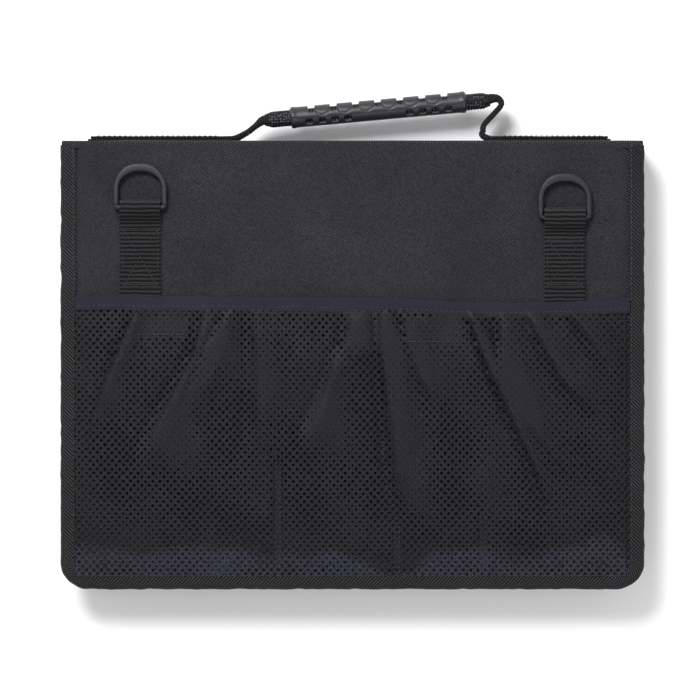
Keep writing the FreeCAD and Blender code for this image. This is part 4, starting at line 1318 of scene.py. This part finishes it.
def slider(level):
    """Two bowed plates, a neck between them and an arched bridge for the pull."""
    low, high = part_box(f"slider_{level}")
    y = (low.y + high.y) / 2
    plate, inner, outer = 1.3 * MM, low.x + 1.2 * MM, high.x - 3.8 * MM
    neck_low = (low.x + 0.3 * MM, y - 1.5 * MM, MIDDLE - 0.4 * MM)
    neck_high = (outer + 0.5 * MM, y + 1.5 * MM, MIDDLE + 0.4 * MM)
    parts = [pebble((low.x, low.y, low.z), (inner, high.y, high.z)),
             pebble((outer, low.y, low.z), (outer + plate, high.y, high.z)), pebble(neck_low, neck_high)]
    arch = np.linspace(0, np.pi, 15)
    path = np.stack([outer + 0.9 * MM + 2.3 * MM * np.sin(arch) ** 0.6, y - 3.1 * MM * np.cos(arch),
                     np.full(15, MIDDLE)], axis=1)
    rings = carry(path, ALONG_Z, np.cross(ALONG_Z, directions(path)), ribbon(1.0 * MM, 0.45 * MM, 4.0, 12))
    parts.append((rings, tube_faces(15, 12)))
    body = add_piece(f"zip_slider_{level}", *joined(parts))
    finish_piece(body, lacquer, f"zip_slider_{level}", "zip_metal", f"slider_{level}")


def pull(level):
    """Flat bar with rounded ends and an open eye, as a closed band round the eye and a solid blade."""
    low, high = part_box(f"pull_{level}")
    upward = level == "upper"
    near = low.y if upward else high.y
    way = 1 if upward else -1
    x = (low.x + high.x) / 2
    half = (high.z - low.z) / 2
    eye = ribbon(1.0, 1.0, 4.0, 40)
    path = np.stack([np.full(40, x), near + way * (4.2 * MM + 3.6 * MM * eye[:, 0]),
                     MIDDLE + (half - 0.7 * MM) * eye[:, 1]], axis=1)
    across = np.cross(directions(path, closed=True), ALONG_X)
    rings = carry(path, across, ALONG_X, ribbon(0.65 * MM, 0.45 * MM, 3.0, 12))
    band = (rings, tube_faces(40, 12, closed=True))
    blade_ends = sorted((near + way * 7.2 * MM, high.y if upward else low.y))
    slim = 0.05 * MM
    blade = pebble((low.x + slim, blade_ends[0], low.z), (high.x - slim, blade_ends[1], high.z), 6.0)
    body = add_piece(f"zip_pull_{level}", *joined([band, blade]))
    finish_piece(body, lacquer, f"zip_pull_{level}", "zip_metal", f"pull_{level}")


for level in ("upper", "lower"):
    slider(level)
    pull(level)
for side in ("back", "front"):
    low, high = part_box(f"{side}_zip_stops")
    parts = [pebble((start, low.y, low.z), (start + COIL_WIDTH, high.y, high.z))
             for start in (low.x, high.x - COIL_WIDTH)]
    stops = add_piece(f"{side}_zip_end_stops", *joined(parts))
    finish_piece(stops, lacquer, f"{side}_cover", "zip_metal", f"{side}_zip_stops")

# %% [markdown]
# ## Document pocket inside
# A flat pocket is sewn on the back cover's lining. Its front hangs a little slack between the
# sewn edges, and its mouth is a doubled hem.

# %% Inner pocket
sheet_low, sheet_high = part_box("inner_pocket_sheet")
hem_low, hem_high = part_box("inner_pocket_hem")
edges_low, edges_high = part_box("inner_pocket_edges")
across = np.linspace(sheet_low.x, sheet_high.x, 150)
up = np.linspace(sheet_low.y, sheet_high.y + 1 * MM, 90)
px, py = np.meshgrid(across, up)
free = ease(sheet_high.x - np.abs(px), 0, 20 * MM) * ease(py - sheet_low.y, 0, 20 * MM)
sag = 0.5 * MM * ripple(px, py, 80 * MM, 131) * free
pocket = padded_slab("inner_pocket_cloth", across, up, sheet_high.z - 0.1 * MM + sag, sheet_low.z - 0.35 * MM)
finish_piece(pocket, lining_cloth, "back_cover", "lining_fabric", "inner_pocket_sheet")
hem_x = np.linspace(hem_low.x, hem_high.x, 200)
hem_height = hem_high.z + 0.1 * MM + 0.3 * MM * wander(hem_x, 90 * MM, 132)
hem_path = np.stack([hem_x, np.full_like(hem_x, (hem_low.y + hem_high.y) / 2), hem_height], axis=1)
hem = carried_piece("inner_pocket_hem_tape", hem_path, ALONG_Y, ALONG_Z,
                    ribbon((hem_high.y - hem_low.y) / 2, 0.8 * MM, 5.0, 24))
finish_piece(hem, trim_tape, "back_cover", "lining_fabric", "inner_pocket_hem")
edge_in = 2 * MM
wall = (edges_high.z - edges_low.z) / 2
wall_points = [(edges_low.x + edge_in, edges_high.y), (edges_low.x + edge_in, edges_low.y + edge_in),
               (edges_high.x - edge_in, edges_low.y + edge_in), (edges_high.x - edge_in, edges_high.y)]
wall_runs = list(zip(wall_points[:-1], wall_points[1:]))
wall_parts = []
for start, end in wall_runs:
    line = np.linspace((*start, edges_low.z + wall), (*end, edges_low.z + wall), 60)
    rings = carry(line, np.cross(ALONG_Z, directions(line)), ALONG_Z, ribbon(edge_in, wall, 5.0, 16))
    wall_parts.append((rings, tube_faces(60, 16)))
walls = add_piece("inner_pocket_sewn_edges", *joined(wall_parts))
finish_piece(walls, lining_cloth, "back_cover", "lining_fabric", "inner_pocket_edges")
seam_height = sheet_high.z + 0.05 * MM
rows = [row_on_line((*start, seam_height), (*end, seam_height), ALONG_Z) for start, end in wall_runs]
sew("inner_pocket_stitches", rows, "back_cover", "lining_fabric")

# %% [markdown]
# ## Hidden layers
# Foam and board are flat inside the covers and never show when the case is whole. They keep
# their CAD shape and only get the right material.

# %% Materials of the CAD pieces that stay
STAYS = {"front_foam": foam, "back_foam": foam, "front_board": board, "back_board": board,
         "spine_board": board}
for node, material in STAYS.items():
    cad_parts[node].data.materials.clear()
    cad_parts[node].data.materials.append(material)
print("kept from the CAD:", sorted(STAYS))

# %% [markdown]
# ## Stage
# The case lies on a white table and is seen from straight above with a long lens. The light is
# a soft box high beyond the handle, a weaker one on the other side, and an even sky. Black cloth
# needs strong light to show its weave, so the white table is a little overexposed, and the
# Standard view transform keeps it pure white.

# %% Table, lights and camera
TABLE_HALF = 3.0
SKY_STRENGTH = 0.58
CAMERA_OVER, CAMERA_HEIGHT, CAMERA_SEES = (-1.5 * MM, 9.1 * MM), 1.9, 423.5 * MM


def stage_floor(half):
    """White table top: one square, level with the case's lowest point."""
    points = [(-half, -half, 0), (half, -half, 0), (half, half, 0), (-half, half, 0)]
    floor = add_piece("table", points, [[0, 1, 2, 3]])
    floor.data.materials.append(smooth_finish("white_table", "F4F4F6", "FAFAFB", 0.8, 400 * MM, 0.0))


def soft_box(name, place, size, power):
    """Square area light that faces the middle of the case."""
    lamp = bpy.data.lights.new(name, "AREA")
    lamp.shape = "SQUARE"
    lamp.size = size
    lamp.energy = power
    holder = bpy.data.objects.new(name, lamp)
    holder.location = place
    direction = np.array((0, 0, MIDDLE)) - np.array(place)
    holder.rotation_euler = to_euler(direction)
    bpy.context.scene.collection.objects.link(holder)


def to_euler(direction):
    """Angles that turn a light's or a camera's own -Z to face along a direction."""
    x, y, z = np.asarray(direction) / np.linalg.norm(direction)
    return (np.arccos(-z), 0.0, np.arctan2(-x, y) if np.hypot(x, y) > 1e-6 else 0.0)


def straight_down_camera(place, height, width):
    """Long-lens camera above the case; width is what it sees of the front cover's plane."""
    lens = bpy.data.cameras.new("camera")
    lens.sensor_width = 36.0
    lens.lens = lens.sensor_width * height / width
    lens.clip_end = 10.0
    holder = bpy.data.objects.new("camera", lens)
    holder.location = (*place, DEPTH + height)
    bpy.context.scene.collection.objects.link(holder)
    bpy.context.scene.camera = holder


stage_floor(TABLE_HALF)
soft_box("soft_box_beyond_handle", (-0.45, 0.85, 1.4), 0.55, 29)
soft_box("soft_box_near", (0.7, -0.5, 1.4), 1.2, 6)
sky = bpy.data.worlds.new("sky")
sky.use_nodes = True
sky.node_tree.nodes["Background"].inputs["Color"].default_value = (1.0, 1.0, 1.0, 1.0)
sky.node_tree.nodes["Background"].inputs["Strength"].default_value = SKY_STRENGTH
bpy.context.scene.world = sky
bpy.context.scene.view_settings.view_transform = "Standard"
straight_down_camera(CAMERA_OVER, CAMERA_HEIGHT, CAMERA_SEES)
print("camera over", np.round(bpy.context.scene.camera.location, 3))
